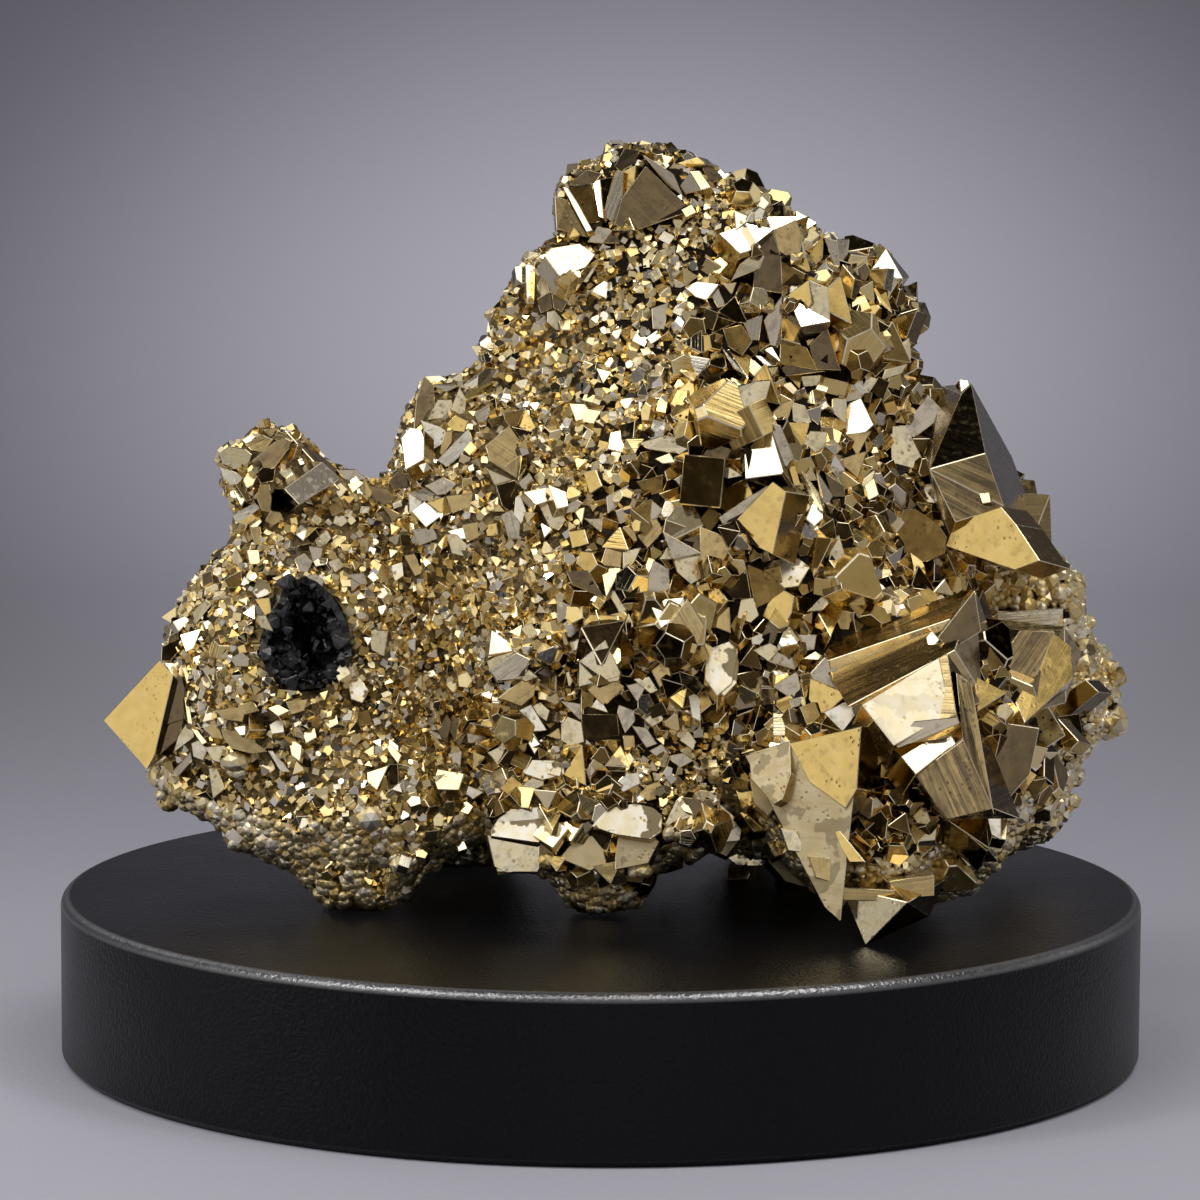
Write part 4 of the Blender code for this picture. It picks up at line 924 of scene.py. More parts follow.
    ("bright", -18.1, -17, 27, 54.3, 85, 55.6, 85.2, 55.8, 84, 54.7, 83.8),
    ("rough", -37.4, -37, 19, 21, 49.5, 26.5, 51.7, 26.6, 47.5, 25.4, 43.9, 24.4, 43.2, 21.3, 46.2),
    ("amber", -24.4, 23, 42, 59.1, 56.3, 65.2, 64.8, 67.6, 62.9, 67.6, 59, 62.4, 55.4, 60.2, 53.8),
    ("gold", 3.6, -30, 11, 67, 51.4, 72, 55, 73.7, 53.5, 68.9, 49.1),
    ("gold", -17.4, -28, 14, 63.4, 52, 66.1, 52.2, 68.9, 49.3, 67.8, 48, 64.5, 48.6),
    ("dark", -31.9, 3, 7, 58.1, 53.5, 62.1, 52.9, 60.8, 46.5, 57.8, 43.1, 55.7, 48.5),
    ("black", -23.2, 3, 10, 54.4, 66.1, 60, 66, 55.3, 60.8),
    ("dark_lined", -24.9, 1, 8, 59.9, 66, 64.7, 65.8, 62.2, 59.8, 57.8, 57.4, 55.4, 59.4),
    ("olive_lined", 0.2, 0, 6, 55.9, 65.7, 68, 65.7, 68, 63.3, 56, 63.3),
    ("amber", -33, 24, 42, 53, 60.3, 57.3, 58.1, 53.1, 56.1),
    ("pale", -30.1, 2, 6, 55.1, 40.6, 58, 38.3, 56.8, 36.7, 54.7, 37.9),
    ("amber", -34.3, 23, 46, 49.2, 40.2, 54.6, 40.9, 54.8, 36.6),
    ("cream", -42.2, 3, 29, 36.5, 57.8, 47.3, 63.9, 48.7, 56.7, 40.8, 52.6),
    ("greyish", -43.8, 1, 7, 40.8, 52.4, 43.7, 55.6, 44.1, 54, 49.6, 56.2, 49.9, 55.5, 41.5, 52.1),
    ("white", -43.1, 16, 35, 41.9, 50.9, 50.1, 55, 50.7, 53.2, 43.8, 48.7),
    ("dark_lined", -44.5, 0, 7, 44, 48.2, 48.2, 50.8, 50.5, 53, 54.6, 43.8, 54, 43.5, 48.5, 42.2),
    ("dark_lined", -42.8, -1, 6, 49.7, 62.1, 51.6, 60.8, 53.8, 49, 54.7, 43.6, 50.6, 53.5),
    ("roof_strip", -27.4, -45, 70, 33.6, 65.4, 53.5, 71.6, 50.2, 68.5, 32.2, 62.8, 31.7, 63.4),
    ("roof_strip", -30.8, -21, 57, 32.4, 62.5, 50.3, 68.4, 47.8, 65.8, 36.5, 61.6, 33.6, 61.7),
    ("roof_strip", -34.4, -22, 57, 33.9, 61.5, 47.8, 65.8, 49.3, 64.6, 36.2, 58.4, 34.9, 59.7),
    ("dark", -32.1, 3, 10, 52.7, 72.4, 53.6, 67, 51.3, 65.7, 49.3, 64.4, 47.7, 66.1),
    ("white", -31.8, -20, 27, 46.1, 65.9, 46.8, 66.7, 47.7, 65.7, 46.4, 64.2),
    ("brown", -38.3, 3, 8, 36.8, 53.4, 41.5, 51.1, 36.9, 47),
    ("pale", -34.1, 1, 9, 31.5, 55.5, 34.8, 57, 36.3, 55.8, 34.1, 52.9, 33.2, 54.5),
    ("greyish", -32.9, 3, 6, 29.6, 60.9, 31.6, 63.1, 33.6, 61.2, 34.5, 58.3, 29.9, 60.2),
    ("gold", -32.1, -30, 10, 29.7, 59.9, 34.7, 58.1, 30.6, 54.2, 29.5, 57),
    ("greyish", -29.2, 0, 8, 24.5, 58.5, 27.8, 60.6, 28.4, 56.7, 28.1, 56.1),
    ("amber", -29.7, 21, 46, 28.2, 59.9, 29.4, 58.7, 28.8, 56.4),
    ("amber", -34.4, 22, 43, 49.2, 40.5, 54.7, 41.3, 55.4, 37.9, 54.6, 36.2, 52.1, 38.6),
    ("beige", -30.3, 2, 6, 49.1, 34.2, 55.1, 34.8, 54.4, 33.5, 49.5, 32.2),
    ("bright", -33.2, -20, 30, 48.4, 38, 49.4, 38.4, 54.7, 36.1, 52.5, 35.9),
    ("pale", -32.2, 0, 6, 54.8, 41.4, 56.8, 41.7, 56.8, 37.2, 55.2, 38.1),
    ("olive", -42.9, 1, 5, 40.6, 32.8, 46.7, 33.7, 46.7, 30.9, 41.8, 30.6),
    ("olive", -44.8, 3, 5, 34, 32.2, 41.1, 31.8, 40.8, 30.5, 34, 30.6),
    ("gold", -44.5, -32, 14, 32.9, 39.9, 33.4, 40, 36.8, 36.3, 34.9, 36.1, 33.7, 37.9),
    ("amber", -28.5, 23, 47, 23.8, 68.1, 25.9, 71.4, 27.6, 70.5, 26.4, 67.4, 25.1, 67.1),
    ("brown", -27.2, 3, 9, 20.9, 74.3, 25.2, 75.5, 25.9, 71.6, 21.9, 69.7),
    ("beige", -10.7, -1, 8, -55.6, 89.7, -54.4, 90.6, -52.1, 90.3, -51.1, 89.5, -51.6, 88.2, -53.4, 87.5,
      -55.1, 88.2),
    ("pale", -11.8, -1, 5, -55.5, 87.7, -53.9, 87.2, -52.2, 86.4, -52.9, 85.5, -53.9, 85.3, -55, 86.2),
    ("bright", -13.4, 14, 35, -52, 86.1, -51.4, 87.1, -50.3, 86.6, -50.8, 85.4, -51.5, 85.1),
    ("olive", -9.7, 2, 9, -51.9, 91, -49.5, 92.2, -48.2, 91.6, -49.4, 89.8, -51.1, 90.2),
    ("bright", -8.1, -17, 30, -52.5, 91.4, -51.4, 92.1, -50.7, 91.9, -51.8, 90.8),
    ("olive", -6.8, 1, 9, -49.6, 92.9, -47.7, 93, -48.5, 91.7),
    ("olive", -8.4, 3, 8, -48.2, 91.6, -47.3, 92.7, -46.4, 92.3, -45.5, 91.4, -47.2, 91.5),
    ("olive_dark", -11.1, 2, 7, -50.8, 88.7, -47.7, 91.3, -46.2, 91.9, -45.4, 91.5, -45.7, 90.6, -47.7,
      87.9, -48.4, 87.5, -49.9, 87.9),
    ("gold", -9.4, -29, 11, -45.5, 88.5, -45.9, 88.9, -45, 90.9, -44.5, 90.8, -45.1, 89),
    ("flank", -6.3, 71, 46, -46.4, 92.6, -43.6, 90.7, -41.2, 88.5, -39.2, 86.9, -37.9, 85.6, -36.7, 83.7,
      -38.5, 84.5, -41.4, 87.6, -44.3, 90.7),
    ("bright", -10.9, -17, 27, -46.2, 86.3, -45.4, 87, -44.7, 86.5, -45.8, 85.9),
    ("white", -11.2, -20, 26, -45.4, 85, -44.5, 85.4, -43.6, 84.4, -44.3, 84),
    ("bright", -11.1, 17, 35, -44.1, 83.7, -43.2, 84.1, -42.3, 82.5, -43, 82.7),
    ("beige", -10.8, 3, 8, -47.1, 87.1, -45.6, 87.6, -44.3, 85.9, -45.2, 85.4),
    ("olive", -12.4, -1, 9, -49.8, 85.3, -48.5, 85.3, -48.1, 83.4, -48.3, 81.5, -49.4, 81.7, -50.1, 83.4),
    ("bright", -10.1, -18, 29, -54.1, 84.8, -53.5, 85.1, -52.1, 82.9, -52.5, 82.2),
    ("brown", -12.3, 0, 9, -53.2, 85.3, -52.6, 85.8, -51.1, 83.2, -51.7, 83),
    ("pale", -11.1, 0, 10, -53.7, 80.7, -50.6, 82.5, -49.9, 81.8, -52.7, 79.7, -53.3, 79.9),
    ("amber", -12.8, 24, 45, -52.5, 80, -49.9, 81.6, -49.6, 80.8, -51.6, 79.7),
    ("bright", -12.2, 14, 34, -51.5, 79.3, -49.9, 80.7, -49.6, 79.9, -50.4, 79),
    ("olive", -12.9, -1, 6, -48.9, 80.1, -48.1, 81.5, -46.8, 81.3, -46.4, 80.3, -47.8, 79.6),
    ("white", -13.9, 14, 32, -44.4, 78.3, -43, 79.1, -42.4, 79.2, -43.4, 77.5),
    ("gold", -14.2, -30, 10, -42.4, 79.3, -41.5, 79.3, -43.3, 77.5),
    ("black", -14.2, -1, 7, -42.9, 78, -41.8, 79.3, -41.1, 78.1, -42.2, 77),
    ("black", -16.1, 4, 9, -44, 76.8, -42.1, 77.2, -42.1, 76.3, -43.4, 76),
    ("greyish", -17.8, 1, 6, -42.2, 76.9, -40.5, 76.7, -40.7, 75.3, -41.8, 74.8),
    ("greyish", -19, 0, 7, -44.3, 75.2, -43, 76, -41.9, 74.8, -42.5, 73.5, -43.6, 73.5),
    ("greyish", -23.5, 2, 9, -42.5, 73.2, -41.2, 73.6, -40, 72.5, -40.6, 71.3, -41.9, 71.7),
    ("beige", -19.2, 1, 9, -39.6, 74.8, -38.1, 75.4, -37.4, 74.3, -38.5, 73.5),
    ("beige", -14, 3, 9, -41.1, 78, -40, 78.9, -39.4, 77.8, -40.2, 76.8),
    ("beige", -12.2, 1, 7, -38.8, 80.8, -37.6, 80.8, -37.1, 80, -38, 79.3, -39.1, 79.8),
    ("frosted", -9.4, -1, 30, -39.2, 84.6, -38.2, 85.2, -37.3, 84.4, -38.3, 83.2),
    ("bright", -7, -18, 26, -37.2, 84.8, -35.6, 85.4, -35, 85.1, -36.5, 83.8),
    ("greyish", -5.2, 1, 6, -38.8, 86.8, -36.4, 86.8, -35, 85.5, -37.7, 85.3),
    ("olive_dark", -7, -1, 7, -34.3, 84.6, -31.5, 84.2, -30.4, 82.9, -32.4, 81.6, -33.7, 83.1),
    ("olive", -7.3, 1, 8, -34.8, 85.7, -33.7, 83.6, -34.5, 82.5, -35.4, 84.2),
    ("dark", -9.2, 0, 8, -33.2, 80.7, -31.9, 81.1, -30.6, 79.6, -31.9, 79.4),
    ("olive", -9.3, 0, 5, -32.1, 82, -29, 80.5, -30.6, 79.9),
    ("black", -11.7, 1, 8, -29.4, 78, -27.9, 78, -28.1, 76.5, -29.2, 76.5),
    ("dark", -7.5, 1, 9, -31.1, 85.5, -30, 86.6, -28.2, 86.4, -28.5, 84.7, -30.4, 84.2),
    ("white", -6.9, -17, 25, -30.3, 86.1, -28.9, 86.2, -28.8, 85.1, -30, 84.9),
    ("olive", -14, 0, 6, -51, 79.1, -49.7, 79.3, -49.5, 77, -50.3, 76.8),
    ("beige", -13.7, 2, 7, -53.8, 74.6, -53.2, 76.2, -52.3, 74.5, -52.5, 73.3),
    ("bright", -15.5, 13, 33, -51.4, 76, -49.9, 76, -49.6, 74.2, -50.9, 74.2),
    ("brown", -17.3, 0, 9, -54.6, 72, -52.3, 73.2, -52.1, 71.1, -54, 70.9),
    ("frosted", -13.9, 2, 29, -31.3, 73.5, -29.1, 74.1, -28.9, 72.4, -30.1, 71.6, -31.4, 72),
    ("olive", -13.7, 3, 6, -28.7, 75.2, -27.4, 75.4, -26.1, 72.8, -27.2, 72.4),
    ("greyish", -18.9, -1, 7, -36.4, 73, -34.5, 73.2, -34, 71.8, -35.5, 71.5),
    ("white", -14.5, 16, 36, -62.2, 65.5, -60.7, 66.1, -59.9, 65.7, -61.4, 64.3),
    ("bright", -17.6, -20, 28, -61, 63.8, -58.1, 64.7, -59.1, 62.2, -60.1, 61.7),
    ("black", -13.8, -1, 9, -63.9, 61.7, -61.9, 62.6, -61.5, 61.3, -62.8, 59.8, -64, 59.8),
    ("dark", -14.4, 1, 6, -62.8, 63.3, -61.7, 64, -61.5, 63, -63, 62.5),
    ("white", -14.3, 13, 35, -63.5, 59.3, -61.8, 59.2, -61.5, 57.5, -62.2, 57.4),
    ("dark", -16.7, 4, 6, -62.1, 57.5, -60.4, 57.8, -60.8, 51.6, -63.3, 50.9, -62.8, 54.4),
    ("dark", -16.9, 4, 9, -63.6, 50.3, -60.8, 51.3, -61.3, 49, -63.3, 47.5, -64.4, 46.2, -63.9, 49),
    ("beige", -18.1, 1, 5, -61.3, 49.2, -59.9, 51.5, -59.1, 50.7, -59.1, 49.2, -61.9, 47.1),
    ("pale", -19.1, 0, 7, -59.3, 48.3, -58, 48.8, -57.1, 47.5, -57.7, 46, -59, 46.5),
    ("greyish", -18, 0, 6, -62, 44.2, -59.6, 46.8, -59.4, 45.8, -61.4, 43.5),
    ("beige", -19.6, 0, 9, -56.7, 44.7, -55.6, 44.7, -54.6, 41.9, -56.1, 40.6),
    ("bright", -17.2, 17, 33, -60.9, 59.4, -60.4, 59.4, -59.6, 57.2, -60, 57),
    ("bright", -18, 16, 34, -60.5, 54.7, -60.1, 54.7, -59.3, 51.2, -59.8, 51.4),
    ("bright", -19, -20, 27, -59.6, 50.7, -59.1, 50.7, -57.1, 48.7, -57.7, 48.4),
    ("beige", -22.5, 2, 8, -57, 48.3, -54.4, 48.5, -53.3, 47.2, -54.3, 46, -55.9, 46.5),
    ("olive", -24, 1, 7, -55.3, 53.9, -51.2, 54.4, -51.7, 52.4, -54.2, 52.7),
    ("olive_lined", -23.6, -1, 8, -54.6, 51, -51.7, 50.8, -48.3, 48, -50.1, 47.7, -53.2, 48.5, -54.3, 50),
    ("olive", -21.1, 3, 9, -57.1, 50.9, -55.5, 51.4, -54.7, 49.4, -56, 49.6),
    ("pale", -24.2, 1, 10, -47.8, 48, -47.3, 48, -44.9, 45.2, -46, 45.2),
    ("amber", -24.8, 25, 43, -50.6, 53.4, -49.1, 52.7, -48.2, 51.3, -50.5, 51.4),
    ("bright", -23.8, -20, 29, -52.8, 51.3, -51.4, 51.8, -50.9, 50.6, -51.9, 50.4),
    ("frosted", -25.5, 3, 30, -47.5, 52.1, -45.9, 53, -45.6, 51.1, -47.2, 50.9),
    ("bright", -25, -18, 28, -45, 50, -43.1, 48.9, -43.3, 47, -44.4, 47.7),
    ("bright", -25.6, -20, 27, -42.8, 50.8, -41.3, 51.6, -41, 50.4, -42.3, 49.6),
    ("frosted", -20.5, 3, 28, -50.2, 70.8, -49.6, 72.5, -48.1, 72, -47.7, 70.6, -49.5, 69.9),
    ("gold", -21.9, -31, 10, -49.8, 69.6, -47.9, 69.9, -47.6, 68, -48.4, 67.6),
    ("beige", -26, 1, 8, -49.2, 67.9, -48.2, 67.9, -47.2, 65.8, -48.7, 66.3),
    ("frosted", -25.2, 1, 31, -38.2, 59.6, -37.2, 61.2, -36.1, 59.5, -37.6, 58.6),
    ("frosted", -23.7, 2, 30, -36.5, 58.2, -35, 58.7, -33.6, 56.8, -34.4, 55.3, -35.9, 55.8),
    ("white", -22.2, 15, 32, -34.2, 64.3, -33.2, 64.2, -33.7, 63.3),
    ("beige", -21.6, -1, 8, -33.2, 65.2, -30.9, 65.2, -31.4, 61.7, -33.4, 62.7),
    ("bright", -25.7, -20, 27, -33.6, 45.1, -30.7, 46.1, -32.2, 43, -33.5, 43.9),
    ("white", -22.1, 15, 32, -30.6, 49.4, -29.4, 48.5, -29.5, 46.8, -30.8, 48.5),
    ("black", -25, 0, 6, -30.5, 46.3, -29.4, 46.3, -29.2, 43.5, -30.5, 43.3),
    ("brown", -26, 2, 9, -34, 43.2, -31, 44.7, -30.7, 42.9, -33, 42.7),
    ("beige", -16.9, 0, 6, -59.2, 67.2, -57.4, 69, -56.6, 68.3, -58.7, 65.7),
    ("dark", -13.8, 0, 8, -58.1, 72.3, -56.8, 72.8, -56.5, 70.8, -57.9, 70.5),
    ("olive", -24.8, 0, 9, -52.1, 54.8, -50.1, 55.3, -49.3, 54.1, -51.1, 53.6),
    ("greyish", -24.5, 0, 8, -53.2, 61.5, -51.6, 62.3, -50.6, 61.5, -50.9, 60.5, -52.4, 60.5),
    ("bright", -26.2, -17, 30, -47.7, 54.5, -46.4, 55, -44.8, 54.3, -46.3, 53.6),
    ("olive", -26.7, 3, 10, -45.1, 55.6, -42.2, 55.9, -42.7, 54.4, -44.3, 53.9),
    ("brown", -22.9, 2, 5, -35.5, 53.5, -33.7, 53.8, -33.1, 52, -34.9, 51.7),
    ("olive_dark", -8.1, 1, 9, -26.1, 100.7, -24.8, 99.5, -24.6, 96.8, -26, 94.7, -27.5, 93.2, -27.1, 97.4),
    ("bright", -1.3, -17, 26, -26, 100.1, -24.1, 100.3, -22.9, 99.8, -24.5, 99.2, -25.2, 99.5),
    ("greyish", -5.9, 2, 7, -24.9, 99.4, -22.2, 99.5, -21.4, 99.2, -23, 98.4),
    ("pale", -4.8, 4, 5, -20.3, 99.3, -18.7, 100.6, -17.6, 101, -18.7, 98.7),
    ("dark", -5.2, 1, 9, -18.3, 100.7, -17.2, 101.8, -16, 101.8, -16.4, 99.7, -18.3, 98.9),
    ("beige", -9.4, 1, 7, -24, 97.5, -22.1, 97.5, -21.9, 96.8, -23.2, 95, -25.4, 94.7, -24.8, 96.2),
    ("beige", -9.6, 1, 6, -22.1, 96.2, -20.9, 99.1, -20, 97.7, -20.2, 95.3),
    ("amber", -7.8, 22, 46, -19.8, 98.6, -15.2, 100.1, -17.1, 98.5, -19.8, 97.6),
    ("gold", -11.7, -28, 11, -22.6, 94.2, -21.3, 95.4, -19.7, 94.7, -20.1, 93.2, -21.6, 93.3),
    ("pale", -11.8, 2, 9, -26.3, 94.6, -23.6, 93.7, -22.8, 93.1, -23.4, 91.4, -24.9, 90.5, -25.5, 92.4),
    ("olive", -12.7, 3, 5, -22.8, 93.2, -21.9, 93.2, -22, 91.7, -23.3, 89.8, -23.6, 90.2),
    ("pale", -14.1, 0, 10, -22, 91, -19.5, 93.7, -18.9, 91.8, -21.2, 89.4, -22.7, 88.4, -23.9, 89.2),
    ("greyish", -13.4, 0, 9, -18.5, 96, -16.6, 97.1, -16.4, 96, -17.2, 94.8, -18.1, 94.8),
    ("white", -12.9, -17, 30, -18.1, 94.7, -16.8, 95.3, -17, 94.2, -17.8, 94),
    ("brown", -13.7, -1, 10, -16.6, 95, -14.5, 95.8, -13.9, 94.9, -16, 94.1),
    ("brown", -15.8, 3, 6, -14.3, 96.2, -11.4, 96.7, -12.4, 94.5, -13.3, 94.3, -14.1, 95.2),
    ("amber", -15.3, 24, 42, -11.2, 96.4, -9.9, 94.2, -10.6, 93.5, -12, 94.3),
    ("black", -17.9, 3, 7, -12.9, 94.3, -11.2, 93.9, -10.2, 93.7, -11, 91.6),
    ("olive", -18.9, 3, 9, -16.8, 91.7, -13.5, 94.5, -11.2, 91.1, -12.3, 87.2, -16.1, 89.6),
    ("olive_lined", -19.4, -1, 9, -14, 88.9, -11.9, 90.4, -12.1, 87.2),
    ("amber", -20.3, 21, 43, -11.6, 90.4, -11.2, 90.8, -11, 89, -12.1, 87.5),
    ("beige", -18.8, 1, 6, -16.5, 88.3, -13.3, 86.9, -15.5, 86.2, -16.1, 87.5),
    ("black", -19.7, 2, 6, -15.3, 86.1, -12.1, 87, -12.3, 84.8, -13.1, 82.3, -14.4, 83.3),
    ("dark", -19.6, 2, 9, -15.2, 85.3, -13.4, 85.9, -12.5, 84.9, -14, 84.2),
    ("grey_lined", -19.5, 4, 7, -12.1, 86.5, -10.6, 87.9, -9.8, 86.6, -11.2, 85.5),
    ("white", -23.4, 15, 35, -11.3, 85.5, -8.1, 86, -7.7, 84.4, -9.6, 83.9),
    ("pale", -22.7, 4, 8, -12.4, 84.7, -11.9, 85, -11.1, 82.8, -11.7, 81.1, -12.6, 82.2),
    ("beige", -22.9, 1, 7, -8.8, 83.2, -7, 84.7, -6.2, 82.4, -5.4, 81.5, -6.4, 80.2, -7.5, 80.6),
    ("bright", -24.5, 16, 34, -7.7, 86.5, -5.4, 85.6, -5, 83.8, -6.5, 83.5),
    ("greyish", -22.2, -1, 7, -6.4, 82.7, -3.9, 84.4, -3, 83.9, -4.5, 82.4),
    ("grey_lined", -22.7, 0, 8, -14.3, 82.2, -13, 82.8, -11.3, 80.9, -11.9, 78.9, -13.4, 79),
    ("white", -22.7, -20, 28, -8.9, 81, -7.3, 80.2, -8.3, 79.1),
    ("greyish", -16, 2, 7, -25.5, 85.7, -23.1, 86.8, -22.7, 84.6, -23.8, 84.4),
    ("greyish", -15.7, 3, 6, -23.1, 86.8, -21.2, 85.9, -22.7, 84.5),
    ("grey_lined", -14.2, -1, 9, -27.7, 84.4, -25.8, 85.1, -24.3, 84.2, -25.8, 83.2),
    ("pale", -12.5, 2, 9, -28.2, 84.2, -27.6, 83.4, -25.8, 82.6, -27.9, 81.5),
    ("white", -15.7, -16, 28, -27.5, 81.8, -25.8, 83.1, -23.2, 81.5, -25.5, 79.8),
    ("gold", -16, -28, 13, -25.2, 83.1, -22.9, 84, -23.2, 81.8),
    ("olive", -18.2, 2, 8, -22.4, 84.4, -18.8, 84.8, -19, 83.1, -21.6, 82.1),
    ("amber", -17.3, 25, 44, -22.7, 84, -21.9, 82, -23, 81.6),
    ("dark", -17.3, 1, 7, -27.2, 88.7, -24.9, 89.8, -24.3, 87.9, -26.8, 87.9),
    ("olive", -19.9, 2, 5, -20.1, 80.4, -18, 80.8, -18, 78.7, -19.5, 78.1),
    ("beige", -19.7, 2, 5, -22.4, 79, -21, 78.9, -19.5, 77.5, -20.1, 76, -21.6, 76.4),
    ("white", -19.2, -18, 28, -22.2, 79.3, -19.9, 79.9, -19.7, 78.5, -21, 78.4),
    ("black", -11.6, 2, 8, -29.3, 78.1, -28.2, 78.1, -28, 76.2, -28.9, 76.2),
    ("greyish", -16, -1, 7, -27.4, 79.2, -24.6, 79.6, -23.8, 78.1, -26.5, 77.1),
    ("bright", -18.2, 16, 33, -23.7, 77.4, -22.6, 78.8, -22.4, 77.2, -23.2, 76.8),
    ("gold", -20.4, -28, 12, -16.9, 80.4, -15.3, 80.7, -15.1, 79.2, -16.5, 78.9),
    ("white", -16.6, -17, 30, -19.4, 88.4, -18.8, 88.8, -18.6, 88.1, -19.2, 87.9),
    ("speckled", -34, -2, 28, -1.3, 39, 1, 41.4, 6.2, 42.2, 8.6, 40.5, 8.4, 38.4, 6.9, 37.4, 6, 38.7, 4,
      39.6, 2.8, 39.2, 2.1, 38, 0.6, 38.4),
    ("rough", -33.8, -1, 17, 2.8, 39.1, 4, 39.4, 6, 38.5, 6.9, 37.1, 8.1, 36.8, 6.6, 33.9, 2.1, 33, 2.1,
      35, 2.8, 36.8),
    ("rough", -33.3, -1, 21, -5.8, 34.3, -3.5, 36.9, -1.3, 37.3, 0.2, 35.5, 0.6, 33.8, -1.6, 32.7),
    ("beige", -34.8, 0, 7, -3.1, 59.3, -2.8, 62.6, 0.4, 65.6, 2.5, 61.2, 2.3, 60.1),
    ("olive", -25.6, 3, 7, -2.4, 57.8, 2.5, 58.5, 3.1, 57.4, 0.2, 55.4),
    ("speckled", -29.4, 0, 28, 15, 61.2, 15.6, 63.6, 18.3, 65.7, 19.4, 61.9, 19, 59.1, 17.4, 57.5, 15.2,
      59.4),
    ("greyish", -26.2, 1, 7, 3.6, 58.1, 6.6, 58.8, 5.1, 55.9),
    ("pale", -24.7, 1, 7, -2, 54.1, -0.5, 56.3, 0.8, 54.1),
    ("black", -25.5, -1, 9, -2.6, 54.5, -2, 54.9, 1.4, 53.8, 2.3, 51.6, -2.6, 49.9),
    ("frosted", -28.2, 3, 30, -11, 45.7, -9.9, 47.4, -5.4, 47.3, -5.4, 45.6, -8.4, 44.9),
    ("beige", -30, -1, 10, -11.8, 43.6, -9.9, 45.1, -8.4, 44.7, -8, 42.5, -9.9, 41.4, -11.8, 42.1),
    ("amber", -32.1, 22, 44, -8.8, 41.6, -6.9, 42.3, -5, 41.8, -6.9, 38.6),
    ("olive", -29.2, 0, 10, 5.1, 43.5, 8.1, 44.6, 9.6, 42.8, 6.6, 42),
    ("bright", -34.4, -17, 27, 10.7, 42.7, 11.4, 43.5, 12.9, 41.1, 11.8, 41.4),
    ("beige", -34.4, 1, 7, 9.2, 39.5, 10.7, 42.8, 12.7, 41, 12.9, 40.6),
    ("beige", 20.3, 1, 8, 19.4, 25.1, 22.2, 26.3, 24.6, 24.7, 22.6, 22.8),
    ("bright", 8.2, 13, 35, 19.2, 25.5, 22.3, 24.7, 21.5, 23.4, 19.1, 23.5),
    ("greyish", -15, 3, 6, 15.9, 35.1, 17.8, 36.6, 20.5, 36.2, 20.1, 33.9, 17.4, 33.6),
    ("bright", -22.8, -16, 30, -30.5, 48.8, -28.9, 47.4, -29.3, 46.4, -30.8, 48.1),
    ("white", -20, -20, 27, -18.2, 51.8, -15, 52.3, -15.7, 50.7),
    ("beige", -20.3, 3, 8, -18, 48.9, -13.8, 49.6, -16.1, 48.2),
    ("white", -25.2, 13, 35, -11.1, 50.7, -10, 51, -8.8, 49.3, -9.6, 48.3),
    ("gold", -18.1, -30, 11, -19.6, 53, -18.1, 54.6, -15, 52.3, -18.8, 51.6),
    ("dark", -14.8, 1, 6, -22, 49.6, -21.6, 51.9, -19.3, 50.3, -20.8, 47.3),
    ("greyish", -15.6, 1, 5, -19.6, 49.7, -18.5, 50.5, -16.6, 48.2, -19.3, 48.2),
    ("amber", -25.1, 25, 43, -25.4, 41.4, -24.4, 42.9, -23.2, 40.6, -24.7, 40.4),
    ("white", -20.4, 14, 34, -21.2, 34.8, -20.3, 35.1, -19.5, 33.4, -20.6, 33.1),
    ("pale", -32.1, 1, 9, -15.1, 37.6, -14.7, 39.5, -12.9, 40.9, -8.8, 41.3, -8.2, 39.4, -8.7, 36.5,
      -12.1, 36.9),
    ("beige", -32.6, 0, 10, -15.9, 37.2, -8.4, 36.5, -9.1, 32.3, -14.7, 32.3),
    ("black", -11.8, -64, -30, -48.4, 84.7, -45.9, 85.1, -43.7, 83.2, -45.3, 81.3, -46.4, 80.4, -48.3, 81),
    ("black", -11.8, 19, 13, -50.3, 86.9, -49.4, 87.7, -47.7, 87.6, -47.9, 85.9, -49.6, 85.6),
    ("beige", -19.7, 1, 10, 15.8, 37.7, 17.1, 39.9, 20.1, 37.3, 18.8, 36.4),
    ("rough", -9, 1, 16, 15.7, 34.1, 19.1, 35.1, 20.4, 33.2, 18.4, 30.6, 16, 31.6),
    ("bright", -24.1, 17, 32, 20, 39.4, 22.7, 40.5, 24, 37.1, 22, 36.9),
    ("gold", -24.2, -28, 14, 19.4, 42.6, 21.3, 43.4, 22, 40.9, 20.3, 40.1),
    ("rough", -28.4, 0, 18, 21.3, 45.5, 25.2, 41.8, 23.8, 39.9, 21.9, 41.5),
    ("bright", -24.3, 17, 36, 24, 35.1, 26, 35.3, 26.6, 33.8, 25, 33.3),
    ("rough", 3.1, 1, 19, 24.9, 27.6, 29.7, 28.2, 32.4, 23.4, 27.6, 24.7),
    ("beige", 20.5, 3, 6, 19.8, 25.4, 23.3, 26, 24.7, 23.9, 20.8, 23.3),
    ("white", 11.9, 17, 36, 19.2, 24.8, 22, 25.3, 22.4, 23.7, 19.5, 23.2),
    ("beige", -40.5, 0, 8, 25.4, 39.8, 27.4, 39.5, 28.7, 36.6, 26.4, 36.9),
    ("olive", -43.5, 3, 8, 29.2, 36.4, 32.1, 36.1, 32.4, 32.9, 30.2, 33.6),
)
BLOCK_DEPTH = 0.5
BLOCK_SPREAD = 1.10
FINE_EDGE = 0.10 * MM
SIDE_FINISHES = ("olive", "beige", "dark", "amber", "greyish")
placed_parts = []
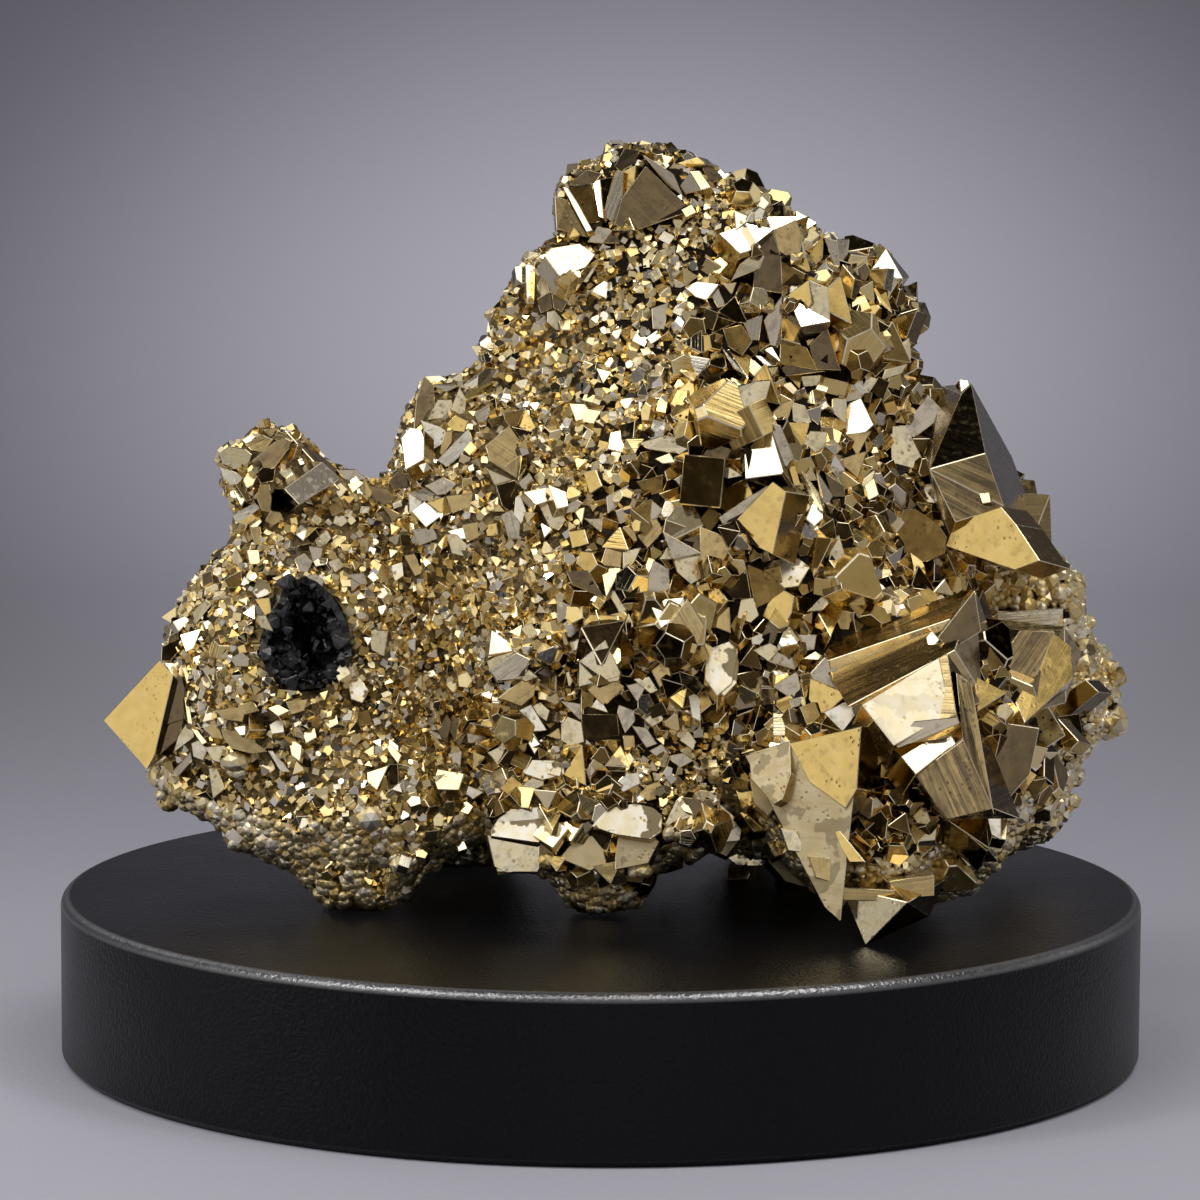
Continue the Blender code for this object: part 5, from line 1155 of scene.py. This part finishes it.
for index, (finish, back, turn, rise, *flat) in enumerate(PLACED_FACES):
    normal = facing(turn, rise)
    right_up = np.array(flat).reshape(-1, 2)
    middle = right_up.mean(axis=0)
    front = [Vector((x, back - ((x - middle[0]) * normal.x + (z - middle[1]) * normal.z) / normal.y, z))
             for x, z in right_up]
    centre = sum(front, Vector()) / len(front)
    across = max((corner - centre).length for corner in front) * 2
    sunk = [centre + (corner - centre) * BLOCK_SPREAD - normal * across * BLOCK_DEPTH for corner in front]
    bm = hull_of([corner[:] for corner in front + sunk])
    large_solids.append(solid_of(bm))
    side_finish = SIDE_FINISHES[index % len(SIDE_FINISHES)]
    sides = [front[corner] - front[corner - 1] for corner in range(len(front))]
    longest = max(sides, key=lambda side: side.length)

    def placed_look(face_normal):
        return (finish, longest) if face_normal.dot(normal) > FRONT_FACE else (side_finish, None)

    placed_parts.append(faceted(bm, FINE_EDGE, placed_look))
joined("middle_crystals", placed_parts)

# Small crystals cover all the rest: cubes, octahedra and forms between them, from fine drusy
# grains on the left and over the crown to blocks of 7 mm at the middle and right. They grew in
# place, packed against each other, so each is sunk in the mass up to a corner or an edge.
SEED = 5
CORNER_CUT = {"cut_cube": 0.2, "cut_octahedron": 0.14}
PYRITOHEDRON_LONG, PYRITOHEDRON_SHORT, PYRITOHEDRON_SIZE = 0.75, 0.375, 0.6


def crystal_form(kind, bevel):
    """A crystal one unit across: corner places, each face's corners, and which faces are edges."""
    bm = bmesh.new()
    if kind in ("grain", "rear_grain"):
        bmesh.ops.create_icosphere(bm, subdivisions=2 if kind == "grain" else 1, radius=0.5)
    elif kind == "octahedron":
        bmesh.ops.create_uvsphere(bm, u_segments=4, v_segments=2, radius=0.5)
    elif kind == "pyritohedron":
        for signs in np.ndindex(2, 2, 2):
            bm.verts.new(Vector(signs) - Vector((0.5, 0.5, 0.5)))
        for long_side in (PYRITOHEDRON_LONG, -PYRITOHEDRON_LONG):
            for short_side in (PYRITOHEDRON_SHORT, -PYRITOHEDRON_SHORT):
                for axis in range(3):
                    corner = [0.0, 0.0, 0.0]
                    corner[axis], corner[(axis + 1) % 3] = long_side, short_side
                    bm.verts.new(corner)
        bmesh.ops.convex_hull(bm, input=bm.verts)
        bmesh.ops.dissolve_limit(bm, angle_limit=FLAT_ENOUGH, verts=bm.verts, edges=bm.edges)
        bmesh.ops.scale(bm, vec=[PYRITOHEDRON_SIZE] * 3, verts=bm.verts)
    else:
        bmesh.ops.create_cube(bm, size=1 / math.sqrt(3))
    if kind == "cut_octahedron":
        bmesh.ops.delete(bm, geom=bm.verts[:], context="VERTS")
        bmesh.ops.create_uvsphere(bm, u_segments=4, v_segments=2, radius=0.5)
    if kind in CORNER_CUT:
        bmesh.ops.bevel(bm, geom=bm.verts[:], offset=CORNER_CUT[kind], segments=1, affect="VERTICES")
    edge_faces = set()
    if bevel:
        edge_faces = set(bmesh.ops.bevel(bm, geom=bm.edges[:], offset=bevel, segments=1, profile=0.5,
                                         affect="EDGES")["faces"])
    bmesh.ops.recalc_face_normals(bm, faces=bm.faces)
    bm.normal_update()
    bm.verts.index_update()
    places = np.array([vert.co[:] for vert in bm.verts])
    loops, sizes, is_edge, uv = [], [], [], []
    for face in bm.faces:
        along, up = face_frame(face.normal)
        sizes.append(len(face.verts))
        is_edge.append(face in edge_faces)
        for vert in face.verts:
            loops.append(vert.index)
            uv.append((vert.co.dot(along), vert.co.dot(up)))
    bm.free()
    return {"places": places, "loops": np.array(loops), "sizes": np.array(sizes),
            "is_edge": np.array(is_edge), "uv": np.array(uv)}


rng = np.random.default_rng(SEED)


def triangles_of(mesh):
    """The corners of each triangle of a solid."""
    mesh.calc_loop_triangles()
    corners = np.array([vert.co[:] for vert in mesh.vertices])
    return corners[np.array([tri.vertices[:] for tri in mesh.loop_triangles])]


def surface_samples(triangles, count):
    """Even random places on triangles, and the normals there."""
    side_a, side_b = triangles[:, 1] - triangles[:, 0], triangles[:, 2] - triangles[:, 0]
    normals = np.cross(side_a, side_b)
    areas = np.linalg.norm(normals, axis=1)
    chosen = rng.choice(len(triangles), count, p=areas / areas.sum())
    u, v = rng.random(count), rng.random(count)
    over = u + v > 1
    u[over], v[over] = 1 - u[over], 1 - v[over]
    places = triangles[chosen, 0] + side_a[chosen] * u[:, None] + side_b[chosen] * v[:, None]
    return places, normals[chosen] / areas[chosen][:, None]


def depth_in_large(places):
    """How deep each place is in the nearest large crystal; below 0 it is outside."""
    deepest = np.full(len(places), -1.0)
    for planes, low, high in large_solids:
        near = np.flatnonzero(((places > low) & (places < high)).all(axis=1))
        inside = -(places[near] @ planes[:, :3].T - planes[:, 3]).max(axis=1, initial=-1.0)
        deepest[near] = np.maximum(deepest[near], inside)
    return deepest


def ramp(value, low, high):
    """0 at low, 1 at high, smooth between."""
    share = np.clip((value - low) / (high - low), 0, 1)
    return share * share * (3 - 2 * share)


# Where fine druse meets coarse crystals: a line that leans right as it rises, the crown, the
# rear, and patches of fine druse in the coarse side (right, up and reach, in mm).
BORDER_RIGHT, BORDER_LEAN, BORDER_LEVEL = -8, 0.45, 66
BORDER_SOFTNESS = (-4, 8)
CROWN_LEVELS, CROWN_FINER = (108, 122), 0.5
REAR_COARSENESS, REAR_FROM = 0.55, (2, 14)
FINE_PATCHES = ((43.6, 31.6, 7.5), (12.0, 46.0, 8.0), (22.0, 31.0, 9.0), (-4.0, 52.0, 6.0))
PATCH_SOFTNESS = (0.6, 1.2)


def coarseness(places):
    """0 where the crystals are fine druse, 1 where they are coarse."""
    right, back, up = places.T / MM
    border = BORDER_RIGHT + BORDER_LEAN * (up - BORDER_LEVEL)
    front = ramp(right, border + BORDER_SOFTNESS[0], border + BORDER_SOFTNESS[1])
    front = front * (1 - ramp(up, *CROWN_LEVELS) * CROWN_FINER)
    for middle_right, middle_up, reach in FINE_PATCHES:
        apart = np.hypot(right - middle_right, up - middle_up)
        front = front * ramp(apart, reach * PATCH_SOFTNESS[0], reach * PATCH_SOFTNESS[1])
    share = ramp(back, *REAR_FROM)
    return front * (1 - share) + REAR_COARSENESS * share


def grainy(places, normals):
    """Where rounded grains cover the mass: its underside and the low flank at the rear right."""
    right, back, up = places.T / MM
    below = (normals[:, 2] < -0.25) & (up < 46)
    rear_flank = (right > 56) & (back > 0) & (up < 76)
    return below | rear_flank


def spaced(places, spacing, taken_places=(), taken_reach=()):
    """The indices of places that keep their spacing from each other and from those taken."""
    tree = KDTree(len(places))
    for index, place in enumerate(places):
        tree.insert(place, index)
    tree.balance()
    free = np.ones(len(places), bool)
    for place, reach in zip(taken_places, taken_reach):
        for _, index, _ in tree.find_range(place, reach):
            free[index] = False
    kept = []
    for index in range(len(places)):
        if free[index]:
            kept.append(index)
            for _, other, _ in tree.find_range(places[index], spacing[index]):
                free[other] = False
    return np.array(kept)


def waves(places, length, seed):
    """Four smooth random values at each place, that turn over in about the given length."""
    wave_rng = np.random.default_rng(seed)
    ways = wave_rng.normal(size=(4, 5, 3)) * (2 * math.pi / length) * 0.5
    phases = wave_rng.uniform(0, 2 * math.pi, (4, 5))
    return np.sin(np.einsum("nk,qwk->nqw", places, ways) + phases).sum(-1)


SHARED_TURN_LENGTH = 20 * MM


def crystal_turns(places, scatter):
    """Each crystal's turn: neighbours that grew together share most of theirs."""
    quat = waves(places, SHARED_TURN_LENGTH, SEED) + rng.normal(size=(len(places), 4)) * scatter
    w, x, y, z = (quat / np.linalg.norm(quat, axis=1)[:, None]).T
    return np.stack([
        np.stack([1 - 2 * (y * y + z * z), 2 * (x * y - z * w), 2 * (x * z + y * w)], -1),
        np.stack([2 * (x * y + z * w), 1 - 2 * (x * x + z * z), 2 * (y * z - x * w)], -1),
        np.stack([2 * (x * z - y * w), 2 * (y * z + x * w), 1 - 2 * (x * x + y * y)], -1)], 1)


UNEVEN_GROWTH = (0.78, 1.28)
FACE_TONE_SPREAD = 0.07
# Bevelled edges of the small crystals get a pale tone, a painted highlight.
EDGE_HIGHLIGHT_TONE, EDGE_DULL = 0.9, 0.28
STEEL_SHARE, STEEL_AMOUNT = 0.13, (0.3, 0.8)
DULL_BELOW = 3.2 * MM
SMALL_DULL, BIG_DULL = (0.06, 0.30), (0.05, 0.20)
MARKED_FROM = 2.5 * MM
LINED_SHARE, LINED_AMOUNT, PITTED_SHARE = 0.3, 0.7, 0.2


def place_crystals(form, seats, normals, sizes, rises, tones, scatter, extra_dull=0.0):
    """Arrays for one form repeated: each stands its rise above its seat, the rest sunk."""
    count, faces = len(seats), len(form["sizes"])
    stretch = rng.uniform(*UNEVEN_GROWTH, (count, 3)) * sizes[:, None]
    grown = form["places"][None] * stretch[:, None]
    corners = np.einsum("nij,nkj->nki", crystal_turns(seats, scatter), grown)
    reach = (corners * normals[:, None]).sum(-1).max(1)
    corners += (seats + normals * (rises - reach)[:, None])[:, None]
    loops = (form["loops"][None] + np.arange(count)[:, None] * len(form["places"])).ravel()
    edge = np.tile(form["is_edge"], count)
    tone = np.repeat(tones, faces) + rng.normal(0, FACE_TONE_SPREAD, count * faces)
    # Edge faces take the painted highlight tone.
    tone = np.where(edge, EDGE_HIGHLIGHT_TONE, tone)
    steel = np.where(rng.random(count) < STEEL_SHARE, rng.uniform(*STEEL_AMOUNT, count), 0.0)
    dull = np.where(sizes < DULL_BELOW, rng.uniform(*SMALL_DULL, count), rng.uniform(*BIG_DULL, count))
    dull = np.where(edge, EDGE_DULL, np.repeat(dull, faces)) + extra_dull
    lined = LINED_AMOUNT * (sizes > MARKED_FROM) * (rng.random(count) < LINED_SHARE)
    pitted = (sizes > MARKED_FROM) * (rng.random(count) < PITTED_SHARE)
    uv = form["uv"][None] * (sizes / MM)[:, None, None] + rng.uniform(0, 90, (count, 1, 2))
    steel, lined, pitted = (np.repeat(value, faces) * ~edge for value in (steel, lined, pitted))
    values = np.array((tone, steel, dull, lined, pitted))
    return corners.reshape(-1, 3), loops, np.tile(form["sizes"], count), values, uv.reshape(-1, 2)


def grow(name, groups):
    """One mesh from several forms' crystals."""
    made = [place_crystals(*group) for group in groups]
    start = 0
    for corners, loops, *_ in made:
        loops += start
        start += len(corners)
    corners, loops, sizes, values, uv = zip(*made)
    shown_mesh(name, np.concatenate(corners), np.concatenate(loops), np.concatenate(sizes),
               np.concatenate(values, axis=1), np.concatenate(uv), pyrite)


HOLLOW_MIDDLE = np.array((-42.5, -24.0, 64.5)) * MM
HOLLOW_RADII = np.array((6.8, 12.0, 8.6)) * MM
HOLLOW_KEPT_OPEN = 0.97
FOOT_LEVEL = STAND_THICKNESS + 0.3 * MM
HORN_HOLE = np.array((-46.5, -14.0, 82.8)) * MM
HORN_HOLE_RADII = np.array((2.6, 8.0, 2.4)) * MM
ON_LARGE_SHARE, ON_LARGE_LIMIT = 0.2, 0.7 * MM
STAND_CLEARANCE = 0.45


def open_ground(places, sizes):
    """Where a crystal may sit: not on a large crystal's face, in the hollow or in the stand."""
    clear_of_large = depth_in_large(places) < -np.minimum(sizes * ON_LARGE_SHARE, ON_LARGE_LIMIT)
    in_hollow = np.linalg.norm((places - HOLLOW_MIDDLE) / (HOLLOW_RADII * HOLLOW_KEPT_OPEN), axis=1) < 1
    in_hollow |= np.linalg.norm((places - HORN_HOLE) / HORN_HOLE_RADII, axis=1) < 1
    above_stand = places[:, 2] - sizes * STAND_CLEARANCE > FOOT_LEVEL
    return clear_of_large & ~in_hollow & above_stand


SAMPLES = 110000
TAKEN_REACH = 0.34
FRONT_SIZE = 5.0 * MM
FACES_FRONT = -0.3
sample_places, sample_normals = surface_samples(triangles_of(mass.data), SAMPLES)
rough = coarseness(sample_places) * ~grainy(sample_places, sample_normals)
# Blocks first, then the crystals between them, then grains in what is left: smallest and
# largest size in fine druse and in coarse, spacing and rise as shares of the size, the share
# of places tried in fine druse, and how many places are tried.
ROUNDS = (
    ((2.6, 4.0), (7.0, 12.0), 0.50, (0.24, 0.38), 0.10, 14000),
    ((1.9, 2.8), (4.2, 7.0), 0.42, (0.24, 0.38), 0.50, 45000),
    ((1.35, 2.1), (2.4, 4.0), 0.42, (0.25, 0.42), 1.0, SAMPLES),
)
seats, normals, sizes, rises = [np.empty((0, 3))] * 2 + [np.empty(0)] * 2
for fine_range, coarse_range, spacing, rise_range, fine_share, tries in ROUNDS:
    draw = rng.random(SAMPLES)
    fine_size = fine_range[0] + (fine_range[1] - fine_range[0]) * draw
    coarse_size = coarse_range[0] + (coarse_range[1] - coarse_range[0]) * draw ** 1.5
    size = (fine_size * (1 - rough) + coarse_size * rough) * MM
    size = np.where(sample_normals[:, 1] < FACES_FRONT, np.minimum(size, FRONT_SIZE), size)
    wanted = rng.random(SAMPLES) < np.maximum(fine_share, rough)
    allowed = np.flatnonzero(open_ground(sample_places, size) & wanted)
    allowed = allowed[allowed < tries]
    kept = allowed[spaced(sample_places[allowed], size[allowed] * spacing, seats, sizes * TAKEN_REACH)]
    seats = np.concatenate([seats, sample_places[kept]])
    normals = np.concatenate([normals, sample_normals[kept]])
    sizes = np.concatenate([sizes, size[kept]])
    rises = np.concatenate([rises, size[kept] * rng.uniform(*rise_range, len(kept))])

# Tones: pale and even in druse, dark or bright by turns among coarse crystals, pale in grains.
DRUSE_TONE, GRAIN_TONE = (0.76, 0.14), (0.80, 0.12)
DARK_SHARE, DARK_TONE, BRIGHT_TONE = 0.45, (0.22, 0.09), (0.66, 0.16)
count = len(sizes)
round_here = grainy(seats, normals)
fine_tones = rng.normal(*DRUSE_TONE, count)
bold_tones = np.where(rng.random(count) < DARK_SHARE, rng.normal(*DARK_TONE, count),
                      rng.normal(*BRIGHT_TONE, count))
tones = np.clip(np.where(rng.random(count) < coarseness(seats), bold_tones, fine_tones), 0.04, 0.97)
tones[round_here] = np.clip(rng.normal(*GRAIN_TONE, round_here.sum()), 0.3, 0.97)

FINE = 2.3 * MM
CRYSTAL_EDGE = 0.014
IN_SIGHT_BACK = 4 * MM
FRONT_BACK = 6 * MM
round_forms = [crystal_form("grain", 0)] * 4
rear_round_forms = [crystal_form("rear_grain", 0)] * 4
in_sight = seats[:, 1] < IN_SIGHT_BACK
fine_forms = [crystal_form(kind, 0) for kind in ("octahedron", "cube", "cut_cube", "cube")]
edged_forms = [crystal_form(kind, CRYSTAL_EDGE)
               for kind in ("octahedron", "pyritohedron", "cut_octahedron", "cube")]
form_choice = rng.integers(0, 4, count)
right, back, up = seats.T
regions = {
    "left_druse": (right < -20 * MM) & (back < FRONT_BACK),
    "crown_druse": up > 96 * MM,
    "front_crystals": (back < FRONT_BACK) & (right < 30 * MM),
    "right_crystals": back < FRONT_BACK,
    "rear_left_crystals": right < 5 * MM,
    "rear_right_crystals": np.ones(count, bool),
}
# Each class of crystal has its forms, how far its turns scatter, and how much duller it is.
CLASSES = (
    (fine_forms, (sizes < FINE) & ~round_here, 0.45, 0.0),
    (edged_forms, (sizes >= FINE) & ~round_here, 1.4, 0.0),
    (round_forms, round_here & in_sight, 1.4, 0.28),
    (rear_round_forms, round_here & ~in_sight, 1.4, 0.2),
)
left_over = np.ones(count, bool)
for name, here in regions.items():
    here = here & left_over
    left_over &= ~here
    groups = []
    for choice in range(4):
        for forms, size_class, scatter, extra_dull in CLASSES:
            picked = here & size_class & (form_choice == choice)
            if picked.any():
                groups.append((forms[choice], seats[picked], normals[picked], sizes[picked],
                               rises[picked], tones[picked], scatter, extra_dull))
    grow(name, groups)

# The hollow's lining: small dark, half-clear crystals grown inward from the wall, over the
# thin crust that the solid gives them.
LINING_SHADES = ((0.45, (0.004, 0.0035, 0.0035)), (0.8, (0.13, 0.125, 0.13)))
LINING_SAMPLES = 3000
LINING_SMALLEST, LINING_GROWTH = 1.2, 3.6
LINING_SPACING, LINING_RISE = 0.55, 0.4
LINING_TONE, LINING_SCATTER = 0.3, 3.0
FROST_RELIEF = 0.1 * MM
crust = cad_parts["cavity_crust"]
dark_crystal = bpy.data.materials.new("dark_hollow_crystal")
dark_crystal.use_nodes = True
tree = dark_crystal.node_tree
shader = tree.nodes["Principled BSDF"]
shader.inputs["Roughness"].default_value = 0.16
shader.inputs["Specular IOR Level"].default_value = 0.6
place = object_place(tree)
greys = ramp_node(tree, noise_node(tree, place, 260.0, 3.0), LINING_SHADES)
tree.links.new(greys, shader.inputs["Base Color"])
frost = bump_node(tree, noise_node(tree, place, 1500.0, 3.0), FROST_RELIEF)
tree.links.new(frost, shader.inputs["Normal"])
crust.data.materials.clear()
crust.data.materials.append(dark_crystal)

wall, wall_normals = surface_samples(triangles_of(crust.data), LINING_SAMPLES)
inward = ((HOLLOW_MIDDLE - wall) * wall_normals).sum(axis=1) > 0
wall, wall_normals = wall[inward], wall_normals[inward]
lining_size = rng.uniform(LINING_SMALLEST, 1.0 + LINING_GROWTH * rng.random(len(wall)) ** 2 + 0.4) * MM
kept = spaced(wall, lining_size * LINING_SPACING)
corners, loops, face_sizes, values, uv = place_crystals(
    crystal_form("cut_octahedron", 0.03), wall[kept], wall_normals[kept], lining_size[kept],
    lining_size[kept] * LINING_RISE, np.full(len(kept), LINING_TONE), LINING_SCATTER)
shown_mesh("hollow_crystals", corners, loops, face_sizes, values, uv, dark_crystal)
